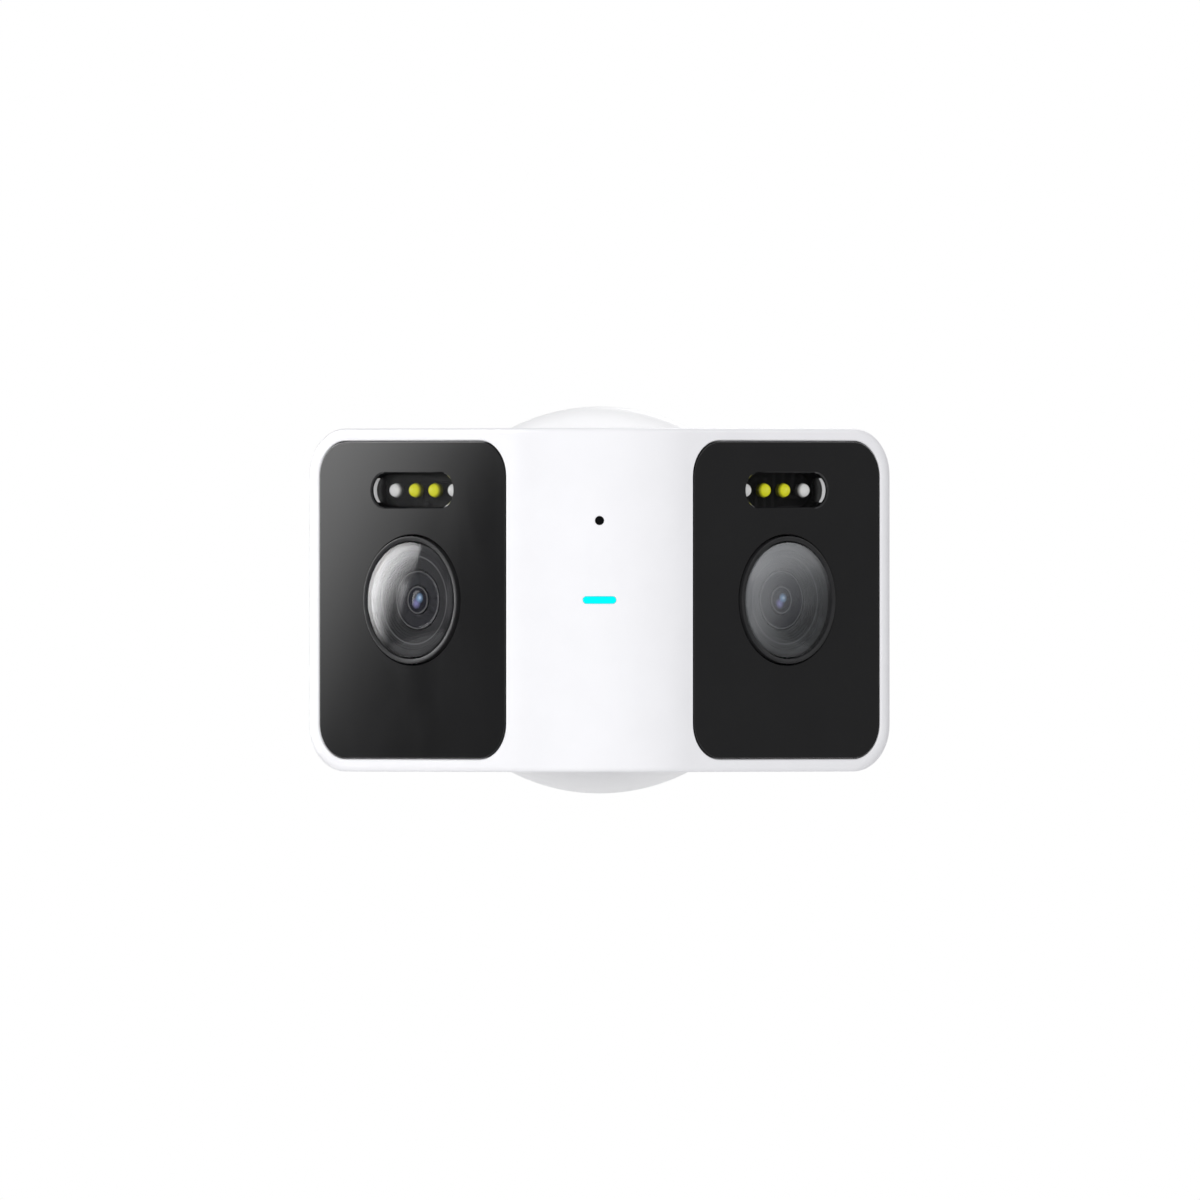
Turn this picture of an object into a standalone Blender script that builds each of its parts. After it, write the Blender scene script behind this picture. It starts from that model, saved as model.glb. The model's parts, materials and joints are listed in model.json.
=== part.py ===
"""Two-lens wedge-shaped security camera with small floodlights, on a round wall mount.

Frame: the origin is the middle of the wall plate's back face. The wall is the plane y = 0,
the camera looks along -Y, +X is to the viewer's right and +Z is up.
Left and right are the viewer's. Lengths are in millimetres and scaled by MM when a mesh is made.
"""
import math

import bmesh
import bpy
from mathutils import Matrix, Vector

MM = 0.001
GAP = 0.3

# Head: a wedge of two flat wings that meet in a round nose
HEAD_WIDTH = 127.6
HEAD_HEIGHT = 75.4
HEAD_DEPTH = 64.0
WING_YAW = math.radians(42.4)
NOSE_RADIUS = 28.0
TIP_RADIUS = 5.0
SIDE_ANGLE = math.radians(105.0)
BACK_CORNER_RADIUS = 8.0
BACK_EDGE_RADIUS = 7.0
CORNER_WIDTH = 8.0
CORNER_HEIGHT = 10.2
WALL = 3.0
PARTING_DEPTH = 53.0
HALF_WIDTH = HEAD_WIDTH / 2
HALF_HEIGHT = HEAD_HEIGHT / 2

# Black panel in each wing
PANEL_WIDTH = 55.2
PANEL_HEIGHT = 69.4
PANEL_CORNER = 7.6
PANEL_THICK = 1.6
PANEL_CENTRE_X = 41.2
LEDGE = 3.0

# Floodlight slot near the top of each panel
SLOT_WIDTH = 24.2
SLOT_HEIGHT = 7.5
SLOT_RISE = 24.1
SLOT_WALL = 1.2
SLOT_DEPTH = 5.9
LED_PITCH = 5.8
LED_SHIFT = 0.7
LED_RADIUS = 1.65
LED_TOP = -3.7
LED_SHOULDER = -4.9
LED_WINDOW_TOP = -2.0
LED_WINDOW_BACK = -2.8

# Lens assembly in the middle of each panel
BEZEL_RADIUS = 14.0
BEZEL_PROUD = 0.6
DOME_RADIUS = 12.6
DOME_RIM = 0.1
DOME_SHOULDER = 0.6
DOME_APEX = 2.3
DOME_THICK = 0.45
BARREL_RADIUS = 6.4
BARREL_TOP = -1.9
BARREL_END = -15.2
ELEMENT_RADIUS = 2.9
HOLDER_SIZE = 18.0
FILTER_TRAVEL = 7.0

# Wall mount
BASE_RADIUS = 42.75
BASE_DEPTH = 18.0
PIVOT_DEPTH = 34.0
HEAD_BACK_DEPTH = 48.0
FORK_RADIUS = 8.0
TONGUE_HALF = 5.9
CHEEK_INNER = 6.2
CHEEK_OUTER = 10.7
HUB_SCREW_END = 21.2
WALL_SCREW_X = 24.0
LOCK_SCREW_DEPTH = 6.5

# Local axes (a, b, n): n is the direction that the piece is extruded or turned along
UPRIGHT = Matrix.Identity(4)
FACING_FRONT = Matrix(((1, 0, 0, 0), (0, 0, -1, 0), (0, 1, 0, 0), (0, 0, 0, 1)))
FACING_RIGHT = Matrix(((0, 0, 1, 0), (1, 0, 0, 0), (0, 1, 0, 0), (0, 0, 0, 1)))

WHITE = ((0.90, 0.90, 0.91), 0.35, 0.0)
BLACK_GLOSS = ((0.012, 0.012, 0.014), 0.06, 0.0)
BLACK_MATT = ((0.02, 0.02, 0.02), 0.55, 0.0)
RUBBER = ((0.05, 0.05, 0.05), 0.8, 0.0)
LIGHT_RUBBER = ((0.78, 0.78, 0.80), 0.7, 0.0)
CLEAR = ((0.25, 0.26, 0.28), 0.03, 0.0)
LENS_GLASS = ((0.03, 0.03, 0.08), 0.02, 0.0)
BOARD = ((0.02, 0.14, 0.06), 0.5, 0.0)
STEEL = ((0.60, 0.60, 0.62), 0.3, 1.0)
BRASS = ((0.72, 0.52, 0.22), 0.3, 1.0)
PHOSPHOR = ((0.85, 0.82, 0.08), 0.35, 0.0)
LED_CLEAR = ((0.80, 0.80, 0.80), 0.2, 0.0)
CYAN = ((0.0, 0.85, 0.95), 0.3, 0.0)
CELL_WRAP = ((0.05, 0.20, 0.45), 0.4, 0.0)
FILTER_GLASS = ((0.35, 0.10, 0.12), 0.05, 0.0)


# ---- frames ----

def frame(x=0.0, y=0.0, z=0.0, turn=UPRIGHT):
    """World matrix of a place in millimetres."""
    return Matrix.Translation(Vector((x, y, z)) * MM) @ turn


def head_frame(x=0.0, depth=0.0, z=0.0, turn=UPRIGHT):
    """World matrix of a place in the head, where depth runs back from the tip of the nose."""
    return frame(x, depth - HEAD_DEPTH - HEAD_BACK_DEPTH, z, turn)


def wing_frame(side, a=0.0, b=0.0, n=0.0):
    """World matrix at a place in a wing: a across, b up, n out of the panel's surface."""
    across = Vector((math.cos(WING_YAW), side * math.sin(WING_YAW), 0.0))
    outward = Vector((side * math.sin(WING_YAW), -math.cos(WING_YAW), 0.0))
    up = Vector((0.0, 0.0, 1.0))
    turn = Matrix((across, up, outward)).transposed().to_4x4()
    tangent_x = NOSE_RADIUS * math.sin(WING_YAW)
    tangent_depth = NOSE_RADIUS * (1 - math.cos(WING_YAW))
    along = (PANEL_CENTRE_X - tangent_x) / math.cos(WING_YAW)
    depth = tangent_depth + along * math.sin(WING_YAW)
    shift = Matrix.Translation(Vector((a, b, n)) * MM)
    return head_frame(side * PANEL_CENTRE_X, depth, 0.0, turn) @ shift


# ---- outlines, all anticlockwise ----

def arc(cx, cy, radius, start, end, steps, radius_y=None):
    tall = radius if radius_y is None else radius_y
    points = []
    for i in range(steps + 1):
        angle = start + (end - start) * i / steps
        points.append((cx + radius * math.cos(angle), cy + tall * math.sin(angle)))
    return points


def circle(radius, steps):
    return arc(0, 0, radius, 0, 2 * math.pi * (steps - 1) / steps, steps - 1)


def rounded_rectangle(width, height, corner, steps=4, corner_y=None):
    tall = corner if corner_y is None else corner_y
    x = width / 2 - corner
    y = height / 2 - tall
    points = []
    for i, (cx, cy) in enumerate(((x, y), (-x, y), (-x, -y), (x, -y))):
        start = i * math.pi / 2
        points += arc(cx, cy, corner, start, start + math.pi / 2, steps, tall)
    return points


def stadium(width, height, steps=8):
    radius = height / 2
    x = width / 2 - radius
    right = arc(x, 0, radius, -math.pi / 2, math.pi / 2, steps)
    left = arc(-x, 0, radius, math.pi / 2, 3 * math.pi / 2, steps)
    return right + left


def rectangle(x0, x1, y0, y1):
    return [(x0, y0), (x1, y0), (x1, y1), (x0, y1)]


def clipped(points, depth, sign):
    """The part of a convex outline on the side of a depth that sign points to."""
    kept = []
    for i, here in enumerate(points):
        after = points[(i + 1) % len(points)]
        inside = sign * (here[1] - depth) >= 0
        inside_after = sign * (after[1] - depth) >= 0
        if inside:
            kept.append(here)
        if inside != inside_after:
            share = (depth - here[1]) / (after[1] - here[1])
            kept.append((here[0] + share * (after[0] - here[0]), depth))
    return kept


def bend(cx, cy, radius, start, end, steps):
    """Arc of an outline whose direction of travel turns from start to end."""
    quarter = math.pi / 2
    return arc(cx, cy, radius, start - quarter, end - quarter, steps)


def head_plan(inset=0.0):
    """The head's outline from above, as (x, depth), a constant distance inside the surface."""
    tip_x = HALF_WIDTH - TIP_RADIUS
    tangent_x = NOSE_RADIUS * math.sin(WING_YAW)
    tangent_depth = NOSE_RADIUS * (1 - math.cos(WING_YAW))
    reach = (tip_x - tangent_x) * math.sin(WING_YAW) + TIP_RADIUS
    tip_depth = tangent_depth + reach / math.cos(WING_YAW)
    corner_depth = HEAD_DEPTH - BACK_CORNER_RADIUS
    slope = math.sin(SIDE_ANGLE)
    drop = BACK_CORNER_RADIUS - TIP_RADIUS - (corner_depth - tip_depth) * math.cos(SIDE_ANGLE)
    corner_x = tip_x - drop / slope
    right = bend(0, NOSE_RADIUS, NOSE_RADIUS - inset, 0, WING_YAW, 5)
    right += bend(tip_x, tip_depth, TIP_RADIUS - inset, WING_YAW, SIDE_ANGLE, 4)
    right += bend(corner_x, corner_depth, BACK_CORNER_RADIUS - inset, SIDE_ANGLE, math.pi, 4)
    left = [(-x, depth) for x, depth in reversed(right)]
    return right + left[:-1]


# ---- meshes and objects ----

def prism(outline, low, high):
    """Extrude an outline along local z."""
    bm = bmesh.new()
    base = bm.faces.new([bm.verts.new((x * MM, y * MM, low * MM)) for x, y in outline])
    moved = bmesh.ops.extrude_face_region(bm, geom=[base])["geom"]
    for vert in moved:
        if isinstance(vert, bmesh.types.BMVert):
            vert.co.z = high * MM
    bmesh.ops.recalc_face_normals(bm, faces=bm.faces)
    return bm


def loft(rings):
    """Join closed rings of (x, y, z) with as many points each, and close both ends."""
    bm = bmesh.new()
    rows = [[bm.verts.new(Vector(point) * MM) for point in ring] for ring in rings]
    count = len(rows[0])
    for low, high in zip(rows, rows[1:]):
        for i in range(count):
            after = (i + 1) % count
            bm.faces.new((low[i], low[after], high[after], high[i]))
    bm.faces.new(rows[0])
    bm.faces.new(rows[-1])
    bmesh.ops.recalc_face_normals(bm, faces=bm.faces)
    return bm


def turned(profile, steps):
    """Turn a closed profile of (radius, height) once around local z."""
    bm = bmesh.new()
    verts = [bm.verts.new((radius * MM, 0.0, height * MM)) for radius, height in profile]
    edges = [bm.edges.new((verts[i], verts[(i + 1) % len(verts)])) for i in range(len(verts))]
    if min(radius for radius, height in profile) <= 0:
        edges = [e for e in edges if max(v.co.x for v in e.verts) > 0]
    bmesh.ops.spin(bm, geom=edges + verts, cent=(0, 0, 0), axis=(0, 0, 1),
                   angle=2 * math.pi, steps=steps, use_merge=True)
    bmesh.ops.remove_doubles(bm, verts=bm.verts, dist=1e-6)
    loose = [v for v in bm.verts if not v.link_faces]
    bmesh.ops.delete(bm, geom=loose, context="VERTS")
    bmesh.ops.recalc_face_normals(bm, faces=bm.faces)
    return bm


def make(name, bm, place, finish, parent):
    """One named piece with its own material, hung on its parent without moving it."""
    mesh = bpy.data.meshes.new(name)
    bm.to_mesh(mesh)
    bm.free()
    mesh.shade_smooth()
    mesh.set_sharp_from_angle(angle=math.radians(30))
    piece = bpy.data.objects.new(name, mesh)
    bpy.context.collection.objects.link(piece)
    piece.matrix_world = place
    if parent is not None:
        piece.parent = parent
        piece.matrix_parent_inverse = Matrix.Translation(-parent.location)
    if finish is not None:
        colour, roughness, metallic = finish
        material = bpy.data.materials.new(name)
        material.use_nodes = True
        shader = material.node_tree.nodes["Principled BSDF"]
        shader.inputs["Base Color"].default_value = (*colour, 1.0)
        shader.inputs["Roughness"].default_value = roughness
        shader.inputs["Metallic"].default_value = metallic
        mesh.materials.append(material)
    return piece


def tool(name, bm, place):
    """A shape that only cuts, trims or joins another one."""
    guide = make(name, bm, place, None, None)
    guide.hide_render = True
    guide.display_type = "WIRE"
    return guide


def combine(piece, guide, operation):
    step = piece.modifiers.new(guide.name, "BOOLEAN")
    step.object = guide
    step.operation = operation


def cut(piece, bm, place):
    number = len(piece.modifiers)
    combine(piece, tool(f"{piece.name}_cut_{number}", bm, place), "DIFFERENCE")


def add(piece, bm, place):
    number = len(piece.modifiers)
    combine(piece, tool(f"{piece.name}_add_{number}", bm, place), "UNION")


def trim(piece, bm, place):
    number = len(piece.modifiers)
    combine(piece, tool(f"{piece.name}_trim_{number}", bm, place), "INTERSECT")


def axis_empty(name, y):
    empty = bpy.data.objects.new(name, None)
    empty.location = (0.0, y * MM, 0.0)
    bpy.context.collection.objects.link(empty)
    return empty


def silhouette(inset=0.0):
    """The head's outline from the front, a constant distance inside the surface."""
    return rounded_rectangle(HEAD_WIDTH - 2 * inset, HEAD_HEIGHT - 2 * inset,
                             CORNER_WIDTH - inset, 5, CORNER_HEIGHT - inset)


def long_prism(outline):
    """A prism along local z that runs past the head both ways."""
    return prism(outline, -HEAD_DEPTH - 10, 10)


# ---- casing ----

CASE_SCREW_X = 46.0
BOSS_RADIUS = 4.6
SPEAKER_DEPTH = 41.2
SPEAKER_RADIUS = 9.5
PORT_PLACE = (-27.0, 46.0)
POWER_PLACE = (24.0, 46.0)
RESET_PLACE = (34.0, 46.0)
POWER_RADIUS = 4.0
RESET_RADIUS = 2.5
FLAP_WIDTH = 20.0
FLAP_LENGTH = 10.0
FLAP_THICK = 1.6
MIC_HEIGHT = 17.4
STATUS_WIDTH = 7.3
STATUS_HEIGHT = 1.6
HINGE_DEPTH = PORT_PLACE[1] + FLAP_LENGTH / 2
BOTTOM = -HALF_HEIGHT
GASKET_FRONT = PARTING_DEPTH - 1.4
GASKET_BACK = PARTING_DEPTH + 1.7


def rear_sections(low):
    """Sections of the back of the head, each a rounded rectangle at its own depth."""
    bend_depth = HEAD_DEPTH - BACK_EDGE_RADIUS
    sections = [(low, HALF_HEIGHT)]
    for i in range(6):
        angle = math.pi / 2 * i / 5
        depth = bend_depth + BACK_EDGE_RADIUS * math.sin(angle)
        sections.append((depth, HALF_HEIGHT - BACK_EDGE_RADIUS * (1 - math.cos(angle))))
    rings = []
    for depth, half_height in reversed(sections):
        behind = clipped(head_plan(), depth - 0.001, 1)
        half_width = max(x for x, y in behind)
        ring = rounded_rectangle(2 * half_width, 2 * half_height, CORNER_WIDTH, 5, CORNER_HEIGHT)
        rings.append([(x, z, -depth) for x, z in ring])
    return rings


def cavity(name, low, high, inset=WALL):
    """The head's hollow between two depths, with the casing's own round corners."""
    plan = clipped(clipped(head_plan(inset), low, 1), high, -1)
    reach = HALF_HEIGHT - inset
    hollow = tool(name, prism(plan, -reach, reach), head_frame())
    trim(hollow, long_prism(silhouette(inset)), head_frame(turn=FACING_FRONT))
    return hollow


def front_shell(parent):
    plan = clipped(head_plan(), PARTING_DEPTH, -1)
    shell = make("front_shell", prism(plan, -HALF_HEIGHT, HALF_HEIGHT), head_frame(), WHITE, parent)
    trim(shell, long_prism(silhouette()), head_frame(turn=FACING_FRONT))
    combine(shell, cavity("front_hollow", -1.0, PARTING_DEPTH + 3), "DIFFERENCE")
    for side in (-1, 1):
        pocket = rounded_rectangle(PANEL_WIDTH + 2 * GAP, PANEL_HEIGHT + 2 * GAP, PANEL_CORNER + GAP)
        cut(shell, prism(pocket, -PANEL_THICK - GAP, 4), wing_frame(side))
        window = rounded_rectangle(PANEL_WIDTH - 2 * LEDGE, PANEL_HEIGHT - 2 * LEDGE,
                                   PANEL_CORNER - LEDGE)
        cut(shell, prism(window, -8, 4), wing_frame(side))
    cut(shell, prism(circle(1.0, 16), -5, 1), head_frame(z=MIC_HEIGHT, turn=FACING_FRONT))
    slot = stadium(STATUS_WIDTH + GAP, STATUS_HEIGHT + GAP)
    cut(shell, prism(slot, -5, 1), head_frame(turn=FACING_FRONT))
    for x in (-CASE_SCREW_X, CASE_SCREW_X):
        place = head_frame(x=x, turn=FACING_FRONT)
        add(shell, prism(circle(BOSS_RADIUS, 16), GAP - GASKET_FRONT, -44.0), place)
        low, high = sorted((0.0, math.copysign(15.5, x)))
        web = prism(rectangle(low, high, -1.5, 1.5), 2 * GAP - GASKET_FRONT, -49.0)
        add(shell, web, place)
        cut(shell, prism(circle(1.8, 12), -PARTING_DEPTH - 2, -46.0), place)
    grille = [(-y, x) for x, y in stadium(11.3, 1.3, 4)]
    for i in range(5):
        x = (i - 2) * 3.0
        cut(shell, prism(grille, BOTTOM - 2, BOTTOM + WALL + 2), head_frame(x=x, depth=SPEAKER_DEPTH))
    x, depth = PORT_PLACE
    recess = rounded_rectangle(FLAP_WIDTH + 2 * GAP, FLAP_LENGTH + 2 * GAP, 2.0, 3)
    cut(shell, prism(recess, BOTTOM - 2, BOTTOM + FLAP_THICK + GAP), head_frame(x, depth))
    cut(shell, prism(stadium(10.4, 4.4, 6), BOTTOM, BOTTOM + WALL + 2), head_frame(x, depth))
    for (x, depth), radius in ((POWER_PLACE, POWER_RADIUS), (RESET_PLACE, RESET_RADIUS)):
        cut(shell, prism(circle(radius + GAP, 16), BOTTOM - 2, BOTTOM + WALL + 2),
            head_frame(x, depth))


def rear_shell(parent):
    low = PARTING_DEPTH + GAP
    shell = make("rear_shell", loft(rear_sections(low)), head_frame(turn=FACING_FRONT), WHITE,
                 parent)
    combine(shell, cavity("rear_hollow", low - 3, HEAD_DEPTH), "DIFFERENCE")
    add(shell, prism(circle(9.0, 24), -HEAD_DEPTH + WALL / 2, -56.6), head_frame(turn=FACING_FRONT))
    cut(shell, prism(circle(6.3, 20), -HEAD_DEPTH - 2, -55.0), head_frame(turn=FACING_FRONT))
    for x in (-CASE_SCREW_X, CASE_SCREW_X):
        place = head_frame(x=x, turn=FACING_FRONT)
        boss = prism(circle(BOSS_RADIUS, 16), -HEAD_DEPTH + WALL / 2, -GASKET_BACK - GAP)
        add(shell, boss, place)
        cut(shell, prism(circle(3.1, 16), -HEAD_DEPTH - 2, -59.5), place)
        cut(shell, prism(circle(1.8, 12), -62.0, -50.0), place)


def housing_gasket(parent):
    """A lip that bridges the joint between the two shells from inside."""
    outer = WALL + GAP
    inner = outer + 0.8
    plan = clipped(clipped(head_plan(outer), GASKET_FRONT, 1), GASKET_BACK, -1)
    reach = HALF_HEIGHT - outer
    ring = make("housing_gasket", prism(plan, -reach, reach), head_frame(), RUBBER, parent)
    trim(ring, long_prism(silhouette(outer)), head_frame(turn=FACING_FRONT))
    hollow = cavity("gasket_hollow", GASKET_FRONT - 2, GASKET_BACK + 2, inner)
    combine(ring, hollow, "DIFFERENCE")


def case_screws(parent):
    profile = [(0, -47.5), (0, -62.0), (2.8, -62.0), (2.8, -59.8), (1.5, -59.8), (1.5, -47.5)]
    for name, x in (("case_screw_left", -CASE_SCREW_X), ("case_screw_right", CASE_SCREW_X)):
        make(name, turned(profile, 12), head_frame(x=x, turn=FACING_FRONT), STEEL, parent)


# ---- one wing's optics and floodlight ----

def wing_panel(label, side, parent):
    outline = rounded_rectangle(PANEL_WIDTH, PANEL_HEIGHT, PANEL_CORNER, 5)
    panel = make(f"{label}_panel", prism(outline, -PANEL_THICK, 0), wing_frame(side), BLACK_GLOSS,
                 parent)
    sleeve = stadium(SLOT_WIDTH + 2 * SLOT_WALL, SLOT_HEIGHT + 2 * SLOT_WALL)
    add(panel, prism(sleeve, -SLOT_DEPTH, -PANEL_THICK / 2), wing_frame(side, b=SLOT_RISE))
    cut(panel, prism(stadium(SLOT_WIDTH, SLOT_HEIGHT), -SLOT_DEPTH - 2, 2),
        wing_frame(side, b=SLOT_RISE))
    cut(panel, prism(circle(BEZEL_RADIUS + GAP, 32), -PANEL_THICK - 2, 2), wing_frame(side))


def wing_lens(label, side, parent):
    place = wing_frame(side)
    inner = DOME_RADIUS + GAP
    bezel = [(inner, -PANEL_THICK), (BEZEL_RADIUS, -PANEL_THICK), (BEZEL_RADIUS, BEZEL_PROUD - 0.3),
             (BEZEL_RADIUS - 0.3, BEZEL_PROUD), (inner, BEZEL_PROUD)]
    make(f"{label}_lens_bezel", turned(bezel, 32), place, BLACK_MATT, parent)

    rise = DOME_APEX - DOME_SHOULDER
    outside = [(DOME_RADIUS * share, DOME_APEX - rise * share ** 2)
               for share in (0.0, 0.35, 0.7, 1.0)]
    inside = [(x * 0.95, z - DOME_THICK) for x, z in reversed(outside)]
    dome = outside + [(DOME_RADIUS, DOME_RIM), (DOME_RADIUS * 0.95, DOME_RIM)] + inside
    dome = [point for i, point in enumerate(dome) if point != dome[i - 1]]
    make(f"{label}_lens_dome", turned(dome, 24), place, CLEAR, parent)

    hole = BARREL_RADIUS + GAP
    lip = DOME_RIM - GAP
    baffle = [(hole, -3.6), (DOME_RADIUS, -3.6), (DOME_RADIUS, lip - 0.2), (11.0, lip),
              (10.6, lip - 0.3), (hole, BARREL_TOP)]
    make(f"{label}_lens_baffle", turned(baffle, 24), place, BLACK_MATT, parent)

    bore = ELEMENT_RADIUS + GAP
    barrel = [(bore, BARREL_END), (BARREL_RADIUS, BARREL_END), (BARREL_RADIUS, BARREL_TOP),
              (bore, BARREL_TOP)]
    make(f"{label}_lens_barrel", turned(barrel, 24), place, BLACK_GLOSS, parent)
    glass = [(0, -6.0), (ELEMENT_RADIUS, -6.0), (ELEMENT_RADIUS, BARREL_TOP),
             (2.0, BARREL_TOP + 0.4), (0, BARREL_TOP + 0.6)]
    make(f"{label}_lens_element", turned(glass, 16), place, LENS_GLASS, parent)


def wing_sensor(label, side, parent):
    place = wing_frame(side)
    square = rounded_rectangle(HOLDER_SIZE, HOLDER_SIZE, 1.5, 2)
    holder = make(f"{label}_lens_holder", prism(square, -18.5, -7.5), place, BLACK_MATT, parent)
    cut(holder, prism(circle(BARREL_RADIUS + GAP, 20), -20, -6), place)
    cut(holder, prism(rectangle(-4.9, 4.9, -15, 15), -17.3, -15.7), place)
    board = make(f"{label}_sensor_board", prism(rectangle(-12, 12, -12, 12), -20.2, -19.0), place,
                 BOARD, parent)
    add(board, prism(rectangle(-3.6, 3.6, -3.0, 3.0), -19.6, -18.1), place)


def wing_filter(label, side, parent):
    """Two small windows in one plate; it drops to swap one for the other."""
    plate = prism(rectangle(-4.5, 4.5, -4.5, 4.5 + FILTER_TRAVEL), -16.9, -16.1)
    make(f"{label}_ir_cut_filter", plate, wing_frame(side), FILTER_GLASS, parent)


def wing_floodlight(label, side, parent):
    pane = stadium(SLOT_WIDTH - 2 * GAP, SLOT_HEIGHT - 2 * GAP)
    make(f"{label}_led_window", prism(pane, LED_WINDOW_BACK, LED_WINDOW_TOP),
         wing_frame(side, b=SLOT_RISE), CLEAR, parent)
    plate = stadium(SLOT_WIDTH + 2 * SLOT_WALL, SLOT_HEIGHT + 2 * SLOT_WALL)
    back = -SLOT_DEPTH - GAP
    make(f"{label}_led_board", prism(plate, back - 1.2, back), wing_frame(side, b=SLOT_RISE),
         BLACK_MATT, parent)
    kinds = (("ir_led_outer", LED_CLEAR), ("flood_led_outer", PHOSPHOR),
             ("flood_led_inner", PHOSPHOR), ("ir_led_inner", LED_CLEAR))
    low = back + 0.2
    profile = [(0, low), (LED_RADIUS, low), (LED_RADIUS, LED_SHOULDER),
               (LED_RADIUS * 0.75, LED_TOP - 0.35), (0, LED_TOP)]
    for i, (kind, finish) in enumerate(kinds):
        a = side * ((1.5 - i) * LED_PITCH + LED_SHIFT)
        make(f"{label}_{kind}", turned(profile, 12), wing_frame(side, a=a, b=SLOT_RISE), finish,
             parent)


# ---- inside the head ----

CELL_RADIUS = 9.2
CELL_X = 9.6
CELL_DEPTH = 20.0
CELL_LENGTH = 65.0


def batteries(parent):
    outline = circle(CELL_RADIUS, 20)
    for label, x in (("left", -CELL_X), ("right", CELL_X)):
        cell = prism(outline, -CELL_LENGTH / 2, CELL_LENGTH / 2)
        make(f"battery_cell_{label}", cell, head_frame(x, CELL_DEPTH), CELL_WRAP, parent)
    half = CELL_LENGTH / 2
    holder = make("battery_holder", prism(rectangle(-19, 19, 22, 31), -half, half), head_frame(),
                  BLACK_MATT, parent)
    for x in (-CELL_X, CELL_X):
        cut(holder, prism(circle(CELL_RADIUS + GAP, 20), -half - 2, half + 2),
            head_frame(x, CELL_DEPTH))


def electronics(parent):
    make("front_board", prism(rectangle(-5, 5, -6, 24), -7.4, -6.2), head_frame(turn=FACING_FRONT),
         BOARD, parent)
    make("microphone", prism(circle(2.0, 12), -5.9, -3.4),
         head_frame(z=MIC_HEIGHT, turn=FACING_FRONT), BLACK_MATT, parent)
    make("status_light_pipe", prism(stadium(STATUS_WIDTH, STATUS_HEIGHT, 6), -5.8, -0.25),
         head_frame(turn=FACING_FRONT), CYAN, parent)
    make("main_board", prism(rectangle(-41, 41, -24, 24), -55.6, -54.0),
         head_frame(turn=FACING_FRONT), BOARD, parent)
    make("antenna", prism(rectangle(-22, 22, 44, 51), 33.4, 34.2), head_frame(), BRASS, parent)
    speaker = [(0, -34.0), (8.6, -34.0), (SPEAKER_RADIUS, -33.0), (SPEAKER_RADIUS, -29.5),
               (6.0, -27.0), (0, -27.0)]
    make("speaker", turned(speaker, 20), head_frame(0, SPEAKER_DEPTH), BLACK_MATT, parent)
    board = make("port_board", prism(rectangle(-40, 40, 38.5, 53.4), -31.2, -30.0), head_frame(),
                 BOARD, parent)
    cut(board, prism(circle(SPEAKER_RADIUS + 0.8, 20), -35, -25), head_frame(0, SPEAKER_DEPTH))


def usb_port(parent):
    x, depth = PORT_PLACE
    port = make("usb_port", prism(stadium(9.6, 3.8, 6), -35.7, -31.5), head_frame(x, depth),
                STEEL, parent)
    cut(port, prism(stadium(8.8, 3.0, 6), -38, -32.1), head_frame(x, depth))


def thread_insert(parent):
    ring = [(3.5, -HEAD_DEPTH + GAP), (6.0, -HEAD_DEPTH + GAP), (6.0, -57.0), (3.5, -57.0)]
    make("thread_insert", turned(ring, 20), head_frame(turn=FACING_FRONT), BRASS, parent)


# ---- moving pieces of the head ----

def port_flap(parent):
    x, depth = PORT_PLACE
    place = head_frame(x, HINGE_DEPTH, BOTTOM)
    outline = [(px, py - FLAP_LENGTH / 2)
               for px, py in rounded_rectangle(FLAP_WIDTH, FLAP_LENGTH, 1.7, 3)]
    flap = make("port_flap", prism(outline, 0, FLAP_THICK), place, LIGHT_RUBBER, parent)
    plug = [(px, py - FLAP_LENGTH / 2) for px, py in stadium(7.0, 1.6, 4)]
    add(flap, prism(plug, FLAP_THICK / 2, FLAP_THICK + 1.6), place)


def button(name, place_in_plan, radius, parent):
    x, depth = place_in_plan
    low = BOTTOM + 0.3
    profile = [(0, -32.6), (0, low), (radius, low), (radius, -34.4), (radius + 1.0, -34.4),
               (radius + 1.0, -33.4), (radius * 0.5, -33.4), (radius * 0.5, -32.6)]
    make(name, turned(profile, 16), head_frame(x, depth), LIGHT_RUBBER, parent)


# ---- wall mount ----

def wall_plate(parent):
    plate = make("wall_plate", prism(circle(39.5, 40), 0, 2.5), frame(turn=FACING_FRONT), STEEL,
                 parent)
    for x in (-WALL_SCREW_X, WALL_SCREW_X):
        cut(plate, prism(stadium(10.0, 5.0, 6), -2, 5), frame(x, turn=FACING_FRONT))
    add(plate, prism(rectangle(-6, 6, -38.6, -33.5), 1.2, 10), frame(turn=FACING_FRONT))
    cut(plate, prism(circle(1.8, 12), -45, -30), frame(0, -LOCK_SCREW_DEPTH, 0))


def base_cover(parent):
    edge = 5.0
    rim = arc(BASE_RADIUS - edge, BASE_DEPTH - edge, edge, 0, math.pi / 2, 4)
    inner = BASE_RADIUS - 2.5
    floor = BASE_DEPTH - 2.5
    profile = [(BASE_RADIUS, 0.0)] + rim + [(8.0, BASE_DEPTH), (8.0, floor), (inner - 3.5, floor),
                                            (inner, floor - 3.5), (inner, 0.0)]
    cover = make("base_cover", turned(profile, 40), frame(turn=FACING_FRONT), WHITE, parent)
    place = frame(0, -LOCK_SCREW_DEPTH, 0)
    cut(cover, prism(circle(1.8, 12), -45, -35), place)
    cut(cover, prism(circle(3.0, 12), -45, -41.4), place)


def base_lock_screw(parent):
    profile = [(0, -34.0), (0, -42.5), (2.7, -42.5), (2.7, -41.7), (1.5, -41.7), (1.5, -34.0)]
    make("base_lock_screw", turned(profile, 12), frame(0, -LOCK_SCREW_DEPTH, 0), STEEL, parent)


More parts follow.
